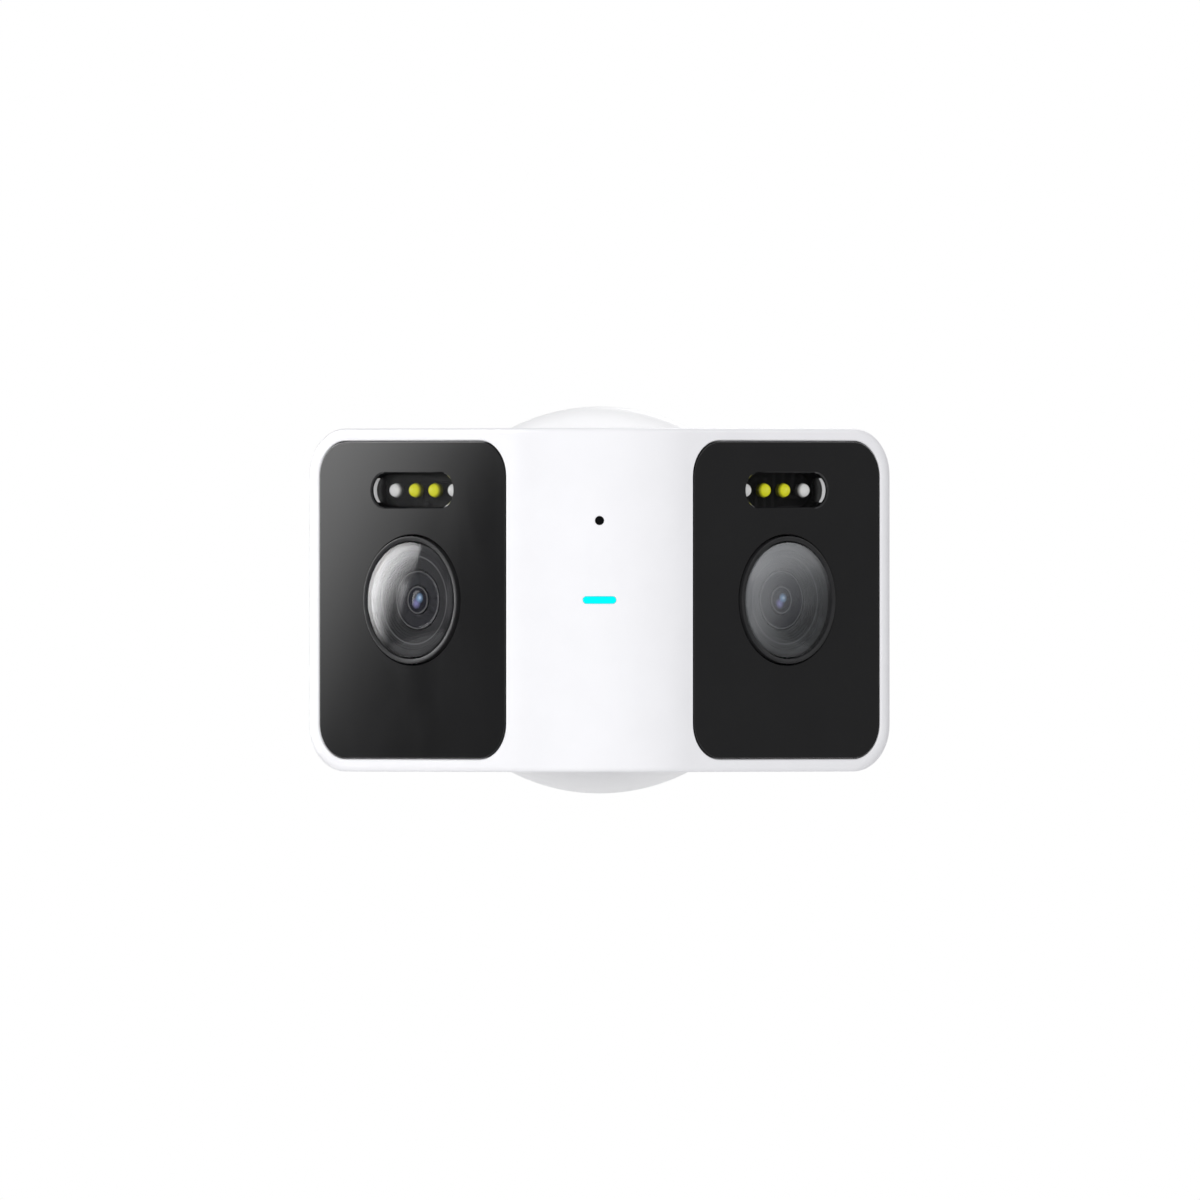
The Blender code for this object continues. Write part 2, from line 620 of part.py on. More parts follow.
def swivel_hub(parent):
    flange_back = BASE_DEPTH + 1.3
    flange_front = 23.0
    profile = [(0, BASE_DEPTH - 2.4), (7.6, BASE_DEPTH - 2.4), (7.6, flange_back),
               (17.0, flange_back), (17.0, flange_front - 1.0), (16.0, flange_front),
               (0, flange_front)]
    hub = make("swivel_hub", turned(profile, 32), frame(turn=FACING_FRONT), WHITE, parent)
    cheek = [(-22.0, -FORK_RADIUS)] + [(-22.0, FORK_RADIUS)]
    cheek += arc(-PIVOT_DEPTH, 0, FORK_RADIUS, math.pi / 2, 3 * math.pi / 2, 10)
    for low, high in ((-CHEEK_OUTER, -CHEEK_INNER), (CHEEK_INNER, CHEEK_OUTER)):
        add(hub, prism(cheek, low, high), frame(turn=FACING_RIGHT))
    cut(hub, prism(circle(2.8, 16), -20, 20), frame(0, -PIVOT_DEPTH, 0, FACING_RIGHT))
    cut(hub, prism(circle(2.3, 12), BASE_DEPTH - 5, HUB_SCREW_END + GAP), frame(turn=FACING_FRONT))


def friction_washer(parent):
    ring = [(9.0, BASE_DEPTH + GAP), (15.0, BASE_DEPTH + GAP), (15.0, BASE_DEPTH + 1.0),
            (9.0, BASE_DEPTH + 1.0)]
    make("friction_washer", turned(ring, 24), frame(turn=FACING_FRONT), RUBBER, parent)


def hub_screw(parent):
    flange = BASE_DEPTH - 2.5 - GAP
    profile = [(0, HUB_SCREW_END), (0, 10.8), (4.5, 10.8), (4.5, 13.4), (11.0, 13.4),
               (11.0, flange), (2.0, flange), (2.0, HUB_SCREW_END)]
    make("hub_screw", turned(profile, 20), frame(turn=FACING_FRONT), STEEL, parent)


def tilt_bolt(parent):
    profile = [(0, 17.0), (0, -13.6), (4.4, -13.6), (4.4, -11.0), (2.5, -11.0), (2.5, 17.0)]
    make("tilt_bolt", turned(profile, 16), frame(0, -PIVOT_DEPTH, 0, FACING_RIGHT), STEEL, parent)


def lock_knob(parent):
    """A lobed hand nut on the end of the tilt bolt."""
    lobes = 6
    outline = []
    for i in range(36):
        angle = 2 * math.pi * i / 36
        radius = 7.1 + 0.4 * math.cos(lobes * angle)
        outline.append((radius * math.cos(angle), radius * math.sin(angle)))
    place = frame(0, -PIVOT_DEPTH, 0, FACING_RIGHT)
    knob = make("lock_knob", prism(outline, CHEEK_OUTER + GAP, 19.5), place, WHITE, parent)
    cut(knob, prism(circle(2.8, 16), CHEEK_OUTER - 2, 17.6), place)


def knuckle(parent):
    disc_back = 43.0
    disc_front = HEAD_BACK_DEPTH - GAP
    place = frame(turn=FACING_FRONT)
    profile = [(0, disc_back), (13.0, disc_back), (15.0, disc_back + 1.5), (15.0, disc_front),
               (0, disc_front)]
    arm = make("knuckle", turned(profile, 28), place, WHITE, parent)
    tongue = [(-disc_back - 1.0, FORK_RADIUS), (-disc_back - 1.0, -FORK_RADIUS)]
    tongue += arc(-PIVOT_DEPTH, 0, FORK_RADIUS, -math.pi / 2, math.pi / 2, 10)
    add(arm, prism(tongue, -TONGUE_HALF, TONGUE_HALF), frame(turn=FACING_RIGHT))
    cut(arm, prism(circle(2.8, 16), -20, 20), frame(0, -PIVOT_DEPTH, 0, FACING_RIGHT))
    cut(arm, prism(circle(3.4, 16), 42.0, 50), place)


def mount_stud(parent):
    make("mount_stud", prism(circle(3.15, 16), 42.3, 54.2), frame(turn=FACING_FRONT), STEEL, parent)


def main():
    for old in list(bpy.data.objects):
        bpy.data.objects.remove(old)

    wall = axis_empty("wall_axis", 0.0)
    swivel = axis_empty("swivel_axis", -BASE_DEPTH)
    tilt = axis_empty("tilt_axis", -PIVOT_DEPTH)
    head = axis_empty("head_axis", -HEAD_BACK_DEPTH)

    wall_plate(wall)
    base_cover(wall)
    base_lock_screw(wall)

    swivel_hub(swivel)
    friction_washer(swivel)
    hub_screw(swivel)
    tilt_bolt(swivel)
    lock_knob(swivel)

    knuckle(tilt)
    mount_stud(tilt)

    front_shell(head)
    rear_shell(head)
    housing_gasket(head)
    case_screws(head)
    batteries(head)
    electronics(head)
    usb_port(head)
    thread_insert(head)
    port_flap(head)
    button("power_button", POWER_PLACE, POWER_RADIUS, head)
    button("reset_button", RESET_PLACE, RESET_RADIUS, head)
    for label, side in (("left", -1), ("right", 1)):
        wing_panel(label, side, head)
        wing_lens(label, side, head)
        wing_sensor(label, side, head)
        wing_filter(label, side, head)
        wing_floodlight(label, side, head)


main()
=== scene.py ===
"""Looks of the two-lens floodlight security camera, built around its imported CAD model.

The frame is the CAD frame: the wall is y = 0, the camera looks along -Y, +X is to the viewer's
right and +Z is up. Lengths are in millimetres and scaled by MM when a mesh is made.
"""

import json
from math import atan2, copysign, cos, pi, radians, sin, sqrt, tan

import bmesh
import bpy
from mathutils import Matrix, Vector

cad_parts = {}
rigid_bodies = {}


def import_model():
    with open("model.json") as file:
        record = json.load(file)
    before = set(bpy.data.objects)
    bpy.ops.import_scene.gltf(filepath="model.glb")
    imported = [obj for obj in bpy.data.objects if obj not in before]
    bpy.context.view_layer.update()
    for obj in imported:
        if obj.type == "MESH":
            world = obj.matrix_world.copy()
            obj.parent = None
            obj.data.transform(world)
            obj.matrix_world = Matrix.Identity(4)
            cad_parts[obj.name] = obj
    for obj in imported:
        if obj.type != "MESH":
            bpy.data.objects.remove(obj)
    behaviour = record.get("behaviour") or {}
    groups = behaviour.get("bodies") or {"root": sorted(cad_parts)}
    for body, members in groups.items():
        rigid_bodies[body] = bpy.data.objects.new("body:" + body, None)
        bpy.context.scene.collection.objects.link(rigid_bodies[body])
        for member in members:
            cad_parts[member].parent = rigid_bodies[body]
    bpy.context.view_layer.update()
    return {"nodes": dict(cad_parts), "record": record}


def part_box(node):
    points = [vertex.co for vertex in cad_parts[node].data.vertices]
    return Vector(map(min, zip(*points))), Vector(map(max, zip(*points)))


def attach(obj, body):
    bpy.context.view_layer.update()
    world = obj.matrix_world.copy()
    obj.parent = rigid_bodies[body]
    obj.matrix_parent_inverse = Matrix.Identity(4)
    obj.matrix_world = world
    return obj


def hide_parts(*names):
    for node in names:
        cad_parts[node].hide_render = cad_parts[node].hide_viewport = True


MM = 0.001
for old in list(bpy.data.objects):
    bpy.data.objects.remove(old)
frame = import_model()


class Box:
    """The box around a CAD node, in millimetres."""

    def __init__(self, node):
        low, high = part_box(node)
        self.low = low / MM
        self.high = high / MM
        self.size = self.high - self.low
        self.middle = (self.low + self.high) / 2


# ---- places that come from the frame ----

SHELL = Box("front_shell")
REAR = Box("rear_shell")
BASE = Box("base_cover")
KNOB = Box("lock_knob")
LOCK_SCREW = Box("base_lock_screw")
HALF_WIDTH = SHELL.high.x
HALF_HEIGHT = SHELL.high.z
BOTTOM = -HALF_HEIGHT
NOSE_Y = SHELL.low.y
HEAD_DEPTH = REAR.high.y - NOSE_Y
PARTING_DEPTH = SHELL.high.y - NOSE_Y
REAR_START = REAR.low.y - NOSE_Y
BASE_RADIUS = BASE.high.x
BASE_DEPTH = -BASE.low.y
PIVOT_Y = KNOB.middle.y

# ---- the head's form, as in the CAD model ----

WING_YAW = radians(42.4)
NOSE_RADIUS = 28.0
TIP_RADIUS = 5.0
EDGE_RADIUS = 1.1
SIDE_ANGLE = radians(105.0)
BACK_CORNER_RADIUS = 8.0
BACK_EDGE_RADIUS = 7.0
CORNER_WIDTH = 8.0
CORNER_HEIGHT = 10.2
WALL = 3.0
PANEL_WIDTH = 55.2
PANEL_HEIGHT = 69.4
PANEL_CORNER = 7.6
PANEL_THICK = 1.6
PANEL_X = 41.2
GAP = 0.3
LEDGE = 3.0
SLOT_WIDTH = 24.2
SLOT_HEIGHT = 7.5
SLOT_RISE = 24.1
SLOT_WALL = 1.2
SLOT_DEPTH = 5.9

QUARTER = pi / 2
UPRIGHT = Matrix.Identity(4)
FACING_FRONT = Matrix(((1, 0, 0, 0), (0, 0, -1, 0), (0, 1, 0, 0), (0, 0, 0, 1)))
FACING_RIGHT = Matrix(((0, 0, 1, 0), (1, 0, 0, 0), (0, 1, 0, 0), (0, 0, 0, 1)))
FACING_DOWN = Matrix.Rotation(pi, 4, "Y")
FACING_BACK = FACING_FRONT @ FACING_DOWN
SIDES = (("left", -1), ("right", 1))


def place_at(x=0.0, y=0.0, z=0.0, turn=UPRIGHT):
    """A place whose local z points as the turn's name says."""
    return Matrix.Translation(Vector((x, y, z)) * MM) @ turn


def head_place(x=0.0, depth=0.0, z=0.0, turn=UPRIGHT):
    """A place in the head, where depth runs back from the tip of the nose."""
    return place_at(x, NOSE_Y + depth, z, turn)


def wing_place(side, a=0.0, b=0.0):
    """A place on a panel's surface: a across and b up, with local z out of the panel."""
    across = Vector((cos(WING_YAW), side * sin(WING_YAW), 0.0))
    outward = Vector((side * sin(WING_YAW), -cos(WING_YAW), 0.0))
    turn = Matrix((across, Vector((0.0, 0.0, 1.0)), outward)).transposed().to_4x4()
    shift = Matrix.Translation(Vector((a, b, 0.0)) * MM)
    return head_place(side * PANEL_X, face_depth(PANEL_X), 0.0, turn) @ shift


def under(x, y):
    """A place on the head's underside, with local z down."""
    return place_at(x, y, BOTTOM, FACING_DOWN)


def face_depth(x, inset=0.0):
    """Depth of the head's front face at a distance from the middle."""
    radius = NOSE_RADIUS - inset
    tangent = radius * sin(WING_YAW)
    if abs(x) <= tangent:
        return NOSE_RADIUS - sqrt(radius ** 2 - x ** 2)
    start = NOSE_RADIUS - radius * cos(WING_YAW)
    return start + (abs(x) - tangent) * tan(WING_YAW)


MOUNT_AXIS = place_at(turn=FACING_FRONT)
PIVOT = place_at(y=PIVOT_Y, turn=FACING_RIGHT)


# ---- outlines, all anticlockwise ----

def arc(cx, cy, radius, start, end, steps, radius_y=None):
    tall = radius if radius_y is None else radius_y
    points = []
    for i in range(steps + 1):
        angle = start + (end - start) * i / steps
        points.append((cx + radius * cos(angle), cy + tall * sin(angle)))
    return points


def circle(radius, steps=64):
    """A circle with no point on its axes, so that a cut never meets an edge of the shell there."""
    half_step = pi / steps
    return arc(0, 0, radius, half_step, 2 * pi - half_step, steps - 1)


def rounded_rectangle(width, height, corner, steps=10, corner_y=None):
    tall = corner if corner_y is None else corner_y
    x = width / 2 - corner
    y = height / 2 - tall
    points = []
    for i, (cx, cy) in enumerate(((x, y), (-x, y), (-x, -y), (x, -y))):
        start = i * QUARTER
        points += arc(cx, cy, corner, start, start + QUARTER, steps, tall)
    return points


def stadium(width, height, steps=20):
    radius = height / 2
    x = width / 2 - radius
    right = arc(x, 0, radius, -QUARTER, QUARTER, steps)
    return right + arc(-x, 0, radius, QUARTER, 3 * QUARTER, steps)


def rectangle(x0, x1, y0, y1):
    return [(x0, y0), (x1, y0), (x1, y1), (x0, y1)]


def panel_outline(grow, steps):
    return rounded_rectangle(PANEL_WIDTH + 2 * grow, PANEL_HEIGHT + 2 * grow, PANEL_CORNER + grow,
                             steps)


def slot_outline(grow=0.0):
    return stadium(SLOT_WIDTH + 2 * grow, SLOT_HEIGHT + 2 * grow, 24)


def offset(points, distance):
    """The outline grown outwards by a distance, or shrunk where it is negative."""
    grown = []
    count = len(points)
    for i, (x, y) in enumerate(points):
        before = Vector((x, y)) - Vector(points[i - 1])
        after = Vector(points[(i + 1) % count]) - Vector((x, y))
        normals = [Vector((v.y, -v.x)).normalized() for v in (before, after)]
        middle = (normals[0] + normals[1]).normalized()
        reach = distance / max(0.4, middle.dot(normals[0]))
        grown.append((x + middle.x * reach, y + middle.y * reach))
    return grown


def rounded(profile, radius, steps=4):
    """A profile with each inner corner replaced by an arc-like curve."""
    points = [profile[0]]
    for before, here, after in zip(profile, profile[1:], profile[2:]):
        corner = Vector(here)
        back = Vector(before) - corner
        ahead = Vector(after) - corner
        reach = min(radius, back.length * 0.45, ahead.length * 0.45)
        start = corner + back.normalized() * reach
        end = corner + ahead.normalized() * reach
        for i in range(steps + 1):
            t = i / steps
            bent = start * (1 - t) ** 2 + corner * 2 * t * (1 - t) + end * t ** 2
            points.append((bent.x, bent.y))
    points.append(profile[-1])
    return points


# ---- meshes ----

def vertices(bm, ring):
    return [bm.verts.new(Vector(point) * MM) for point in ring]


def stitch(bm, rows, closed=False):
    """Make the faces between rows of vertices, where a row may be a single point."""
    pairs = list(zip(rows, rows[1:])) + ([(rows[-1], rows[0])] if closed else [])
    for low, high in pairs:
        count = max(len(low), len(high))
        for i in range(count):
            after = (i + 1) % count
            corners = (low[i % len(low)], low[after % len(low)],
                       high[after % len(high)], high[i % len(high)])
            unique = list(dict.fromkeys(corners))
            if len(unique) > 2:
                bm.faces.new(unique)


def outward(bm):
    bmesh.ops.recalc_face_normals(bm, faces=bm.faces)
    return bm


def loft(rings):
    """Join rings of (x, y, z) with as many points each, and close both ends."""
    bm = bmesh.new()
    rows = [vertices(bm, ring) for ring in rings]
    stitch(bm, rows)
    bm.faces.new(rows[0])
    bm.faces.new(rows[-1])
    return outward(bm)


def slab(outline, low, high, top=0.0, bottom=0.0, steps=4):
    """Extrude an outline along local z, with its edges rounded at the top and bottom."""
    angles = [QUARTER * i / steps for i in range(steps + 1)]
    levels = [(low + bottom * (1 - cos(a)), bottom * (1 - sin(a))) for a in angles]
    levels = levels if bottom else levels[:1]
    above = [(high - top * (1 - sin(a)), top * (1 - cos(a))) for a in angles]
    levels += above if top else above[:1]
    rings = []
    for height, inset in levels:
        shape = offset(outline, -inset) if inset else outline
        rings.append([(x, y, height) for x, y in shape])
    return loft(rings)


def flared(outline, low, high, chamfer, reach=4.0):
    """A cutter that opens by a chamfer where it leaves the surface at height high."""
    wide = offset(outline, chamfer)
    levels = ((outline, low), (outline, high - chamfer), (wide, high), (wide, high + reach))
    return loft([[(x, y, z) for x, y in shape] for shape, z in levels])


def turned(profile, steps=96, closed=False):
    """Turn a profile of (radius, height) about local z. Points at radius 0 close the ends."""
    bm = bmesh.new()
    rows = []
    for radius, height in profile:
        count = steps if radius else 1
        angles = [2 * pi * i / count for i in range(count)]
        ring = [(radius * cos(angle), radius * sin(angle), height) for angle in angles]
        rows.append(vertices(bm, ring))
    stitch(bm, rows, closed)
    return outward(bm)


def square(half):
    bm = bmesh.new()
    bm.faces.new(vertices(bm, [(x, y, 0) for x, y in rectangle(-half, half, -half, half)]))
    return bm


def make(name, bm, place=UPRIGHT, look=None):
    mesh = bpy.data.meshes.new(name)
    bm.to_mesh(mesh)
    bm.free()
    mesh.transform(place)
    obj = bpy.data.objects.new(name, mesh)
    bpy.context.scene.collection.objects.link(obj)
    if look is not None:
        mesh.materials.append(look)
    return obj


def boolean(obj, bm, place, operation):
    """Cut a shape from an object or join it on, and keep only the result."""
    other = make("shape", bm, place)
    modifier = obj.modifiers.new("shape", "BOOLEAN")
    modifier.operation = operation
    modifier.object = other
    depsgraph = bpy.context.evaluated_depsgraph_get()
    result = bpy.data.meshes.new_from_object(obj.evaluated_get(depsgraph))
    obj.modifiers.clear()
    obj.data = result
    bpy.data.objects.remove(other)


def cut(obj, bm, place):
    boolean(obj, bm, place, "DIFFERENCE")


def add(obj, bm, place):
    boolean(obj, bm, place, "UNION")


def smooth(obj, limit):
    """Smooth shading, with sharp edges where faces meet at more than the limit in degrees."""
    bm = bmesh.new()
    bm.from_mesh(obj.data)
    for face in bm.faces:
        face.smooth = True
    for edge in bm.edges:
        edge.smooth = edge.is_manifold and edge.calc_face_angle(pi) < radians(limit)
    bm.to_mesh(obj.data)
    bm.free()
    weighted = obj.modifiers.new("weighted normals", "WEIGHTED_NORMAL")
    weighted.keep_sharp = True


def piece(obj, body, slot, *nodes, limit=34.0):
    """Finish a piece: shade it smooth; it moves with a body and stands for CAD nodes. Its slot is not
    used.
    """
    smooth(obj, limit)
    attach(obj, body)
    if nodes:
        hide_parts(*nodes)


def turned_piece(name, profile, steps, place, look, body, slot, *nodes, closed=False, limit=34.0):
    obj = make(name, turned(profile, steps, closed), place, look)
    piece(obj, body, slot, *nodes, limit=limit)


# ---- materials ----

class Graph:
    """The nodes of a material or world, with helpers that add nodes and return one output."""

    def __init__(self, owner):
        owner.use_nodes = True
        self.owner = owner
        self.nodes = owner.node_tree.nodes
        self.links = owner.node_tree.links
        self.place = self.node("TexCoord", "Object", {})

    def feed(self, socket, value):
        """Set an input to a value, or link an output to it."""
        if isinstance(value, bpy.types.NodeSocket):
            self.links.new(value, socket)
        elif socket.type == "RGBA":
            socket.default_value = (*value, 1.0)
        else:
            socket.default_value = value

    def node(self, kind, output, inputs, **settings):
        node = self.nodes.new("ShaderNode" + kind)
        for setting, value in settings.items():
            setattr(node, setting, value)
        for key, value in inputs.items():
            self.feed(node.inputs[key], value)
        return node.outputs[output]

    def show(self, shader):
        """Make a shader the one that the material or world shows."""
        output = [node for node in self.nodes if node.name.endswith("Output")][0]
        self.links.new(shader, output.inputs["Surface"])
        return self.owner

    def noise(self, scale, detail=4.0, stretch=(1.0, 1.0, 1.0), distortion=0.0):
        mapped = self.node("Mapping", "Vector", {"Scale": stretch, "Vector": self.place})
        inputs = {"Scale": scale, "Detail": detail, "Distortion": distortion, "Vector": mapped}
        return self.node("TexNoise", "Fac", inputs)

    def spread(self, value, low, high, start=0.3, end=0.7, interpolation="LINEAR"):
        """Map a value between start and end to the range from low to high."""
        inputs = {"Value": value, "From Min": start, "From Max": end, "To Min": low, "To Max": high}
        return self.node("MapRange", "Result", inputs, interpolation_type=interpolation)

    def ramp(self, value, start, end, low, high):
        return self.spread(value, low, high, start, end, "SMOOTHSTEP")

    def math(self, operation, *values):
        return self.node("Math", "Value", dict(enumerate(values)), operation=operation)

    def plus(self, first, second):
        return self.math("ADD", first, second)

    def times(self, first, second):
        return self.math("MULTIPLY", first, second)

    def mix_shaders(self, share, first, second):
        return self.node("MixShader", "Shader", {0: share, 1: first, 2: second})

    def blend(self, factor, first, second):
        """Mix two colours."""
        node = self.nodes.new("ShaderNodeMix")
        node.data_type = "RGBA"
        self.feed(node.inputs["Factor"], factor)
        colours = [socket for socket in node.inputs if socket.type == "RGBA"]
        for socket, value in zip(colours, (first, second)):
            self.feed(socket, value)
        return [socket for socket in node.outputs if socket.type == "RGBA"][0]

    def along(self, axis):
        """One of the object coordinates, in metres."""
        return self.node("SeparateXYZ", axis, {"Vector": self.place})


class Look(Graph):
    """A Principled material whose inputs vary finely over the surface."""

    def __init__(self, name, colour, roughness, metallic=0.0, specular=0.5, coat=0.0, ior=1.5):
        super().__init__(bpy.data.materials.new(name))
        self.shader = self.nodes["Principled BSDF"]
        self.colour = colour
        self.roughness = roughness
        values = {"Base Color": colour, "Roughness": roughness, "Metallic": metallic, "IOR": ior,
                  "Specular IOR Level": specular, "Coat Weight": coat, "Coat Roughness": 0.05}
        for socket, value in values.items():
            self.set(socket, value)

    def set(self, socket, value):
        self.feed(self.shader.inputs[socket], value)

    def mottle(self, scale, amount, tint=None):
        """Vary the base colour a little over the surface."""
        dark = tuple(c * (1 - amount) for c in self.colour)
        light = tint or tuple(min(1.0, c * (1 + amount)) for c in self.colour)
        self.set("Base Color", self.blend(self.spread(self.noise(scale), 0.0, 1.0), dark, light))

    def wear(self, scale, amount):
        """Vary the roughness a little over the surface."""
        low = max(0.01, self.roughness - amount)
        self.set("Roughness", self.spread(self.noise(scale), low, self.roughness + amount))

    def bump(self, height, distance, strength):
        inputs = {"Strength": strength, "Distance": distance, "Height": height}
        self.set("Normal", self.node("Bump", "Normal", inputs))

    def textured(self, mottle, wear, grain, depth, strength, detail=2.0, stretch=(1.0, 1.0, 1.0)):
        """Add all three: mottle and wear are (scale, amount), and grain is the bump's scale."""
        self.mottle(*mottle)
        self.wear(*wear)
        self.bump(self.noise(grain, detail, stretch), depth, strength)
        return self.owner


def moulded(name, colour, roughness):
    """Moulded plastic: a fine even grain, a slight cloudiness and uneven gloss."""
    look = Look(name, colour, roughness, specular=0.3)
    return look.textured((90.0, 0.012), (240.0, 0.05), 2600.0, 0.000012, 0.5)


def gloss_black():
    """Polished black plastic with faint wiping marks."""
    look = Look("gloss_black", (0.007, 0.007, 0.0075), 0.07)
    look.mottle(60.0, 0.10)
    smear = look.noise(75.0, detail=5.0, stretch=(1.0, 1.0, 0.35), distortion=0.6)
    look.set("Roughness", look.spread(smear, 0.05, 0.10))
    look.bump(look.noise(38.0, detail=1.0), 0.00002, 0.12)
    return look.owner


def satin_black(name, colour, roughness, specular=0.3):
    look = Look(name, colour, roughness, specular=specular)
    return look.textured((400.0, 0.15), (900.0, 0.06), 3500.0, 0.00001, 0.5)


def metal(name, colour, roughness):
    """Plated or turned metal with a fine grain."""
    look = Look(name, colour, roughness, metallic=1.0)
    return look.textured((500.0, 0.06), (1400.0, 0.08), 5200.0, 0.000008, 0.6)


def rubber(name, colour):
    look = Look(name, colour, 0.72, specular=0.35)
    return look.textured((600.0, 0.05), (1000.0, 0.08), 4200.0, 0.00002, 0.6, detail=3.0)


def cell_wrap():
    """Shrink wrap on a battery cell, with faint wrinkles around it."""
    look = Look("cell_wrap", (0.035, 0.16, 0.42), 0.30)
    return look.textured((120.0, 0.10), (350.0, 0.08), 160.0, 0.00012, 0.4, 3.0, (1.0, 1.0, 4.0))


def clear_cover(name, centre_x, tint, painted_sheen_amount, gloss_ior):
    """Thin clear plastic: see-through, with a reflection and a painted sheen, a diffuse veil that grows
    up and left where the light falls.
    """
    gloss = 0.015
    look = Look(name, (0.55, 0.56, 0.58), gloss, ior=gloss_ior)
    look.bump(look.noise(60.0, detail=1.0), 0.00001, 0.1)
    look.set("Roughness", look.spread(look.noise(300.0), gloss, gloss + 0.03))
    speck = look.spread(look.noise(2400.0, detail=2.0), 0.0, 0.004, 0.62, 0.75)
    facing = look.node("LayerWeight", "Facing", {})
    head_on = ((gloss_ior - 1) / (gloss_ior + 1)) ** 2
    grazing = look.times(look.math("POWER", facing, 5.0), 1 - head_on)
    share = look.plus(look.plus(grazing, head_on), speck)
    through = look.node("BsdfTransparent", "BSDF", {"Color": tint})
    mirror = look.node("BsdfGlossy", "BSDF", {"Color": (1.0, 1.0, 1.0), "Roughness": gloss})
    glass = look.mix_shaders(share, through, mirror)
    # Painted sheen: a diffuse layer mixed over the glass, growing along a diagonal up and to the left.
    diagonal = look.plus(look.math("SUBTRACT", centre_x * MM, look.along("X")), look.along("Z"))
    painted_sheen_veil = look.spread(diagonal, 0.0, painted_sheen_amount, -0.009, 0.014)
    return look.show(look.mix_shaders(painted_sheen_veil, glass, look.shader.outputs["BSDF"]))


def painted_reflection_glass(label, side):
    """The front lens element: dark glass with painted reflections in its base colour, pale blue and
    lavender patches and a small blue-white highlight.
    """
    look = Look(f"painted_reflection_glass_{label}", (0.006, 0.006, 0.012), 0.05, specular=0.12)
    centre = side * (PANEL_X + BARREL_TOP * sin(WING_YAW))
    # Painted reflections: each patch blends its colour in by distance from a point on the lens.
    painted_reflections = ((-0.35, -0.75, 0.4, 1.4, (0.30, 0.29, 0.58)),
               (0.35, 0.45, 0.35, 1.35, (0.36, 0.58, 0.86)),
               (0.50, 0.50, 0.05, 0.6, (0.85, 0.93, 1.0)))
    mixed = (0.006, 0.006, 0.014)
    warp = look.times(look.noise(900.0, detail=1.0), 0.0003)
    for x, z, inner, outer, colour in painted_reflections:
        across = look.math("SUBTRACT", look.along("X"), (centre + x) * MM)
        upward = look.math("SUBTRACT", look.along("Z"), z * MM)
        wide = look.times(across, 1.3)
        square = look.plus(look.times(wide, wide), look.times(upward, upward))
        distance = look.plus(look.math("SQRT", square), warp)
        near = look.spread(distance, 1.0, 0.0, inner * MM, outer * MM)
        mixed = look.blend(near, mixed, colour)
    look.set("Base Color", mixed)
    look.bump(look.noise(900.0, detail=1.0), 0.000004, 0.2)
    return look.owner


def emitter_look(name, colour, edge, glow, strength):
    """A small clear lens over a chip, with a painted glow and painted shade: bright and glowing over
    most of it and darker at its shoulder.
    """
    look = Look(name, colour, 0.22, specular=0.6)
    look.wear(900.0, 0.06)
    look.bump(look.noise(4000.0, detail=3.0), 0.00001, 0.5)
    across = look.times(look.math("ABSOLUTE", look.along("X")), sin(WING_YAW))
    height = look.plus(across, look.times(look.along("Y"), -cos(WING_YAW)))
    surface = PANEL_X * sin(WING_YAW)
    surface -= (NOSE_Y + face_depth(PANEL_X)) * cos(WING_YAW)
    rise = LED_TOP - LED_SHOULDER
    low = (surface + LED_SHOULDER - 0.25 * rise) * MM
    high = (surface + LED_SHOULDER + 0.4 * rise) * MM
    # Painted shade and glow: the base colour darkens and the glow fades towards the shoulder.
    painted_glow_mask = look.spread(height, 0.0, 1.0, low, high)
    look.set("Base Color", look.blend(painted_glow_mask, edge, colour))
    look.set("Emission Color", glow)
    uneven = look.spread(look.noise(1300.0), 0.92 * strength, 1.08 * strength)
    look.set("Emission Strength", look.times(painted_glow_mask, uneven))
    return look.owner


def lit_cyan():
    look = Look("lit_cyan", (0.0, 0.30, 0.32), 0.45, specular=0.04)
    look.mottle(1400.0, 0.06)
    look.wear(900.0, 0.06)
    cloud = look.spread(look.noise(500.0), 0.0, 1.0)
    look.set("Emission Color", look.blend(cloud, (0.0, 0.88, 0.90), (0.0, 1.0, 1.0)))
    look.set("Emission Strength", 0.75)
    return look.owner


def board(name, mask, copper, specular=0.5):
    """A circuit board: solder mask over copper lines in two directions."""
    look = Look(name, mask, 0.36, specular=specular)
    wave = {"Scale": 160.0, "Distortion": 3.0, "Detail": 1.0, "Detail Scale": 0.6,
            "Vector": look.place}
    upright, level = [look.node("TexWave", "Fac", wave, wave_type="BANDS", bands_direction=axis)
                      for axis in ("X", "Z")]
    area = look.spread(look.noise(70.0, detail=0.0), 0.0, 1.0, 0.47, 0.53)
    picked = look.node("Mix", "Result", {"Factor": area, "A": upright, "B": level})
    track = look.spread(picked, 0.0, 1.0, 0.72, 0.80)
    look.set("Base Color", look.blend(track, mask, copper))
    look.set("Roughness", look.spread(look.noise(600.0), 0.30, 0.44))
    look.bump(track, 0.00003, 0.7)
    return look.owner


def coloured_glass():
    look = Look("filter_glass", (0.26, 0.07, 0.10), 0.05, coat=0.5)
    look.mottle(140.0, 0.25, tint=(0.10, 0.16, 0.30))
    look.bump(look.noise(400.0), 0.000006, 0.2)
    return look.owner


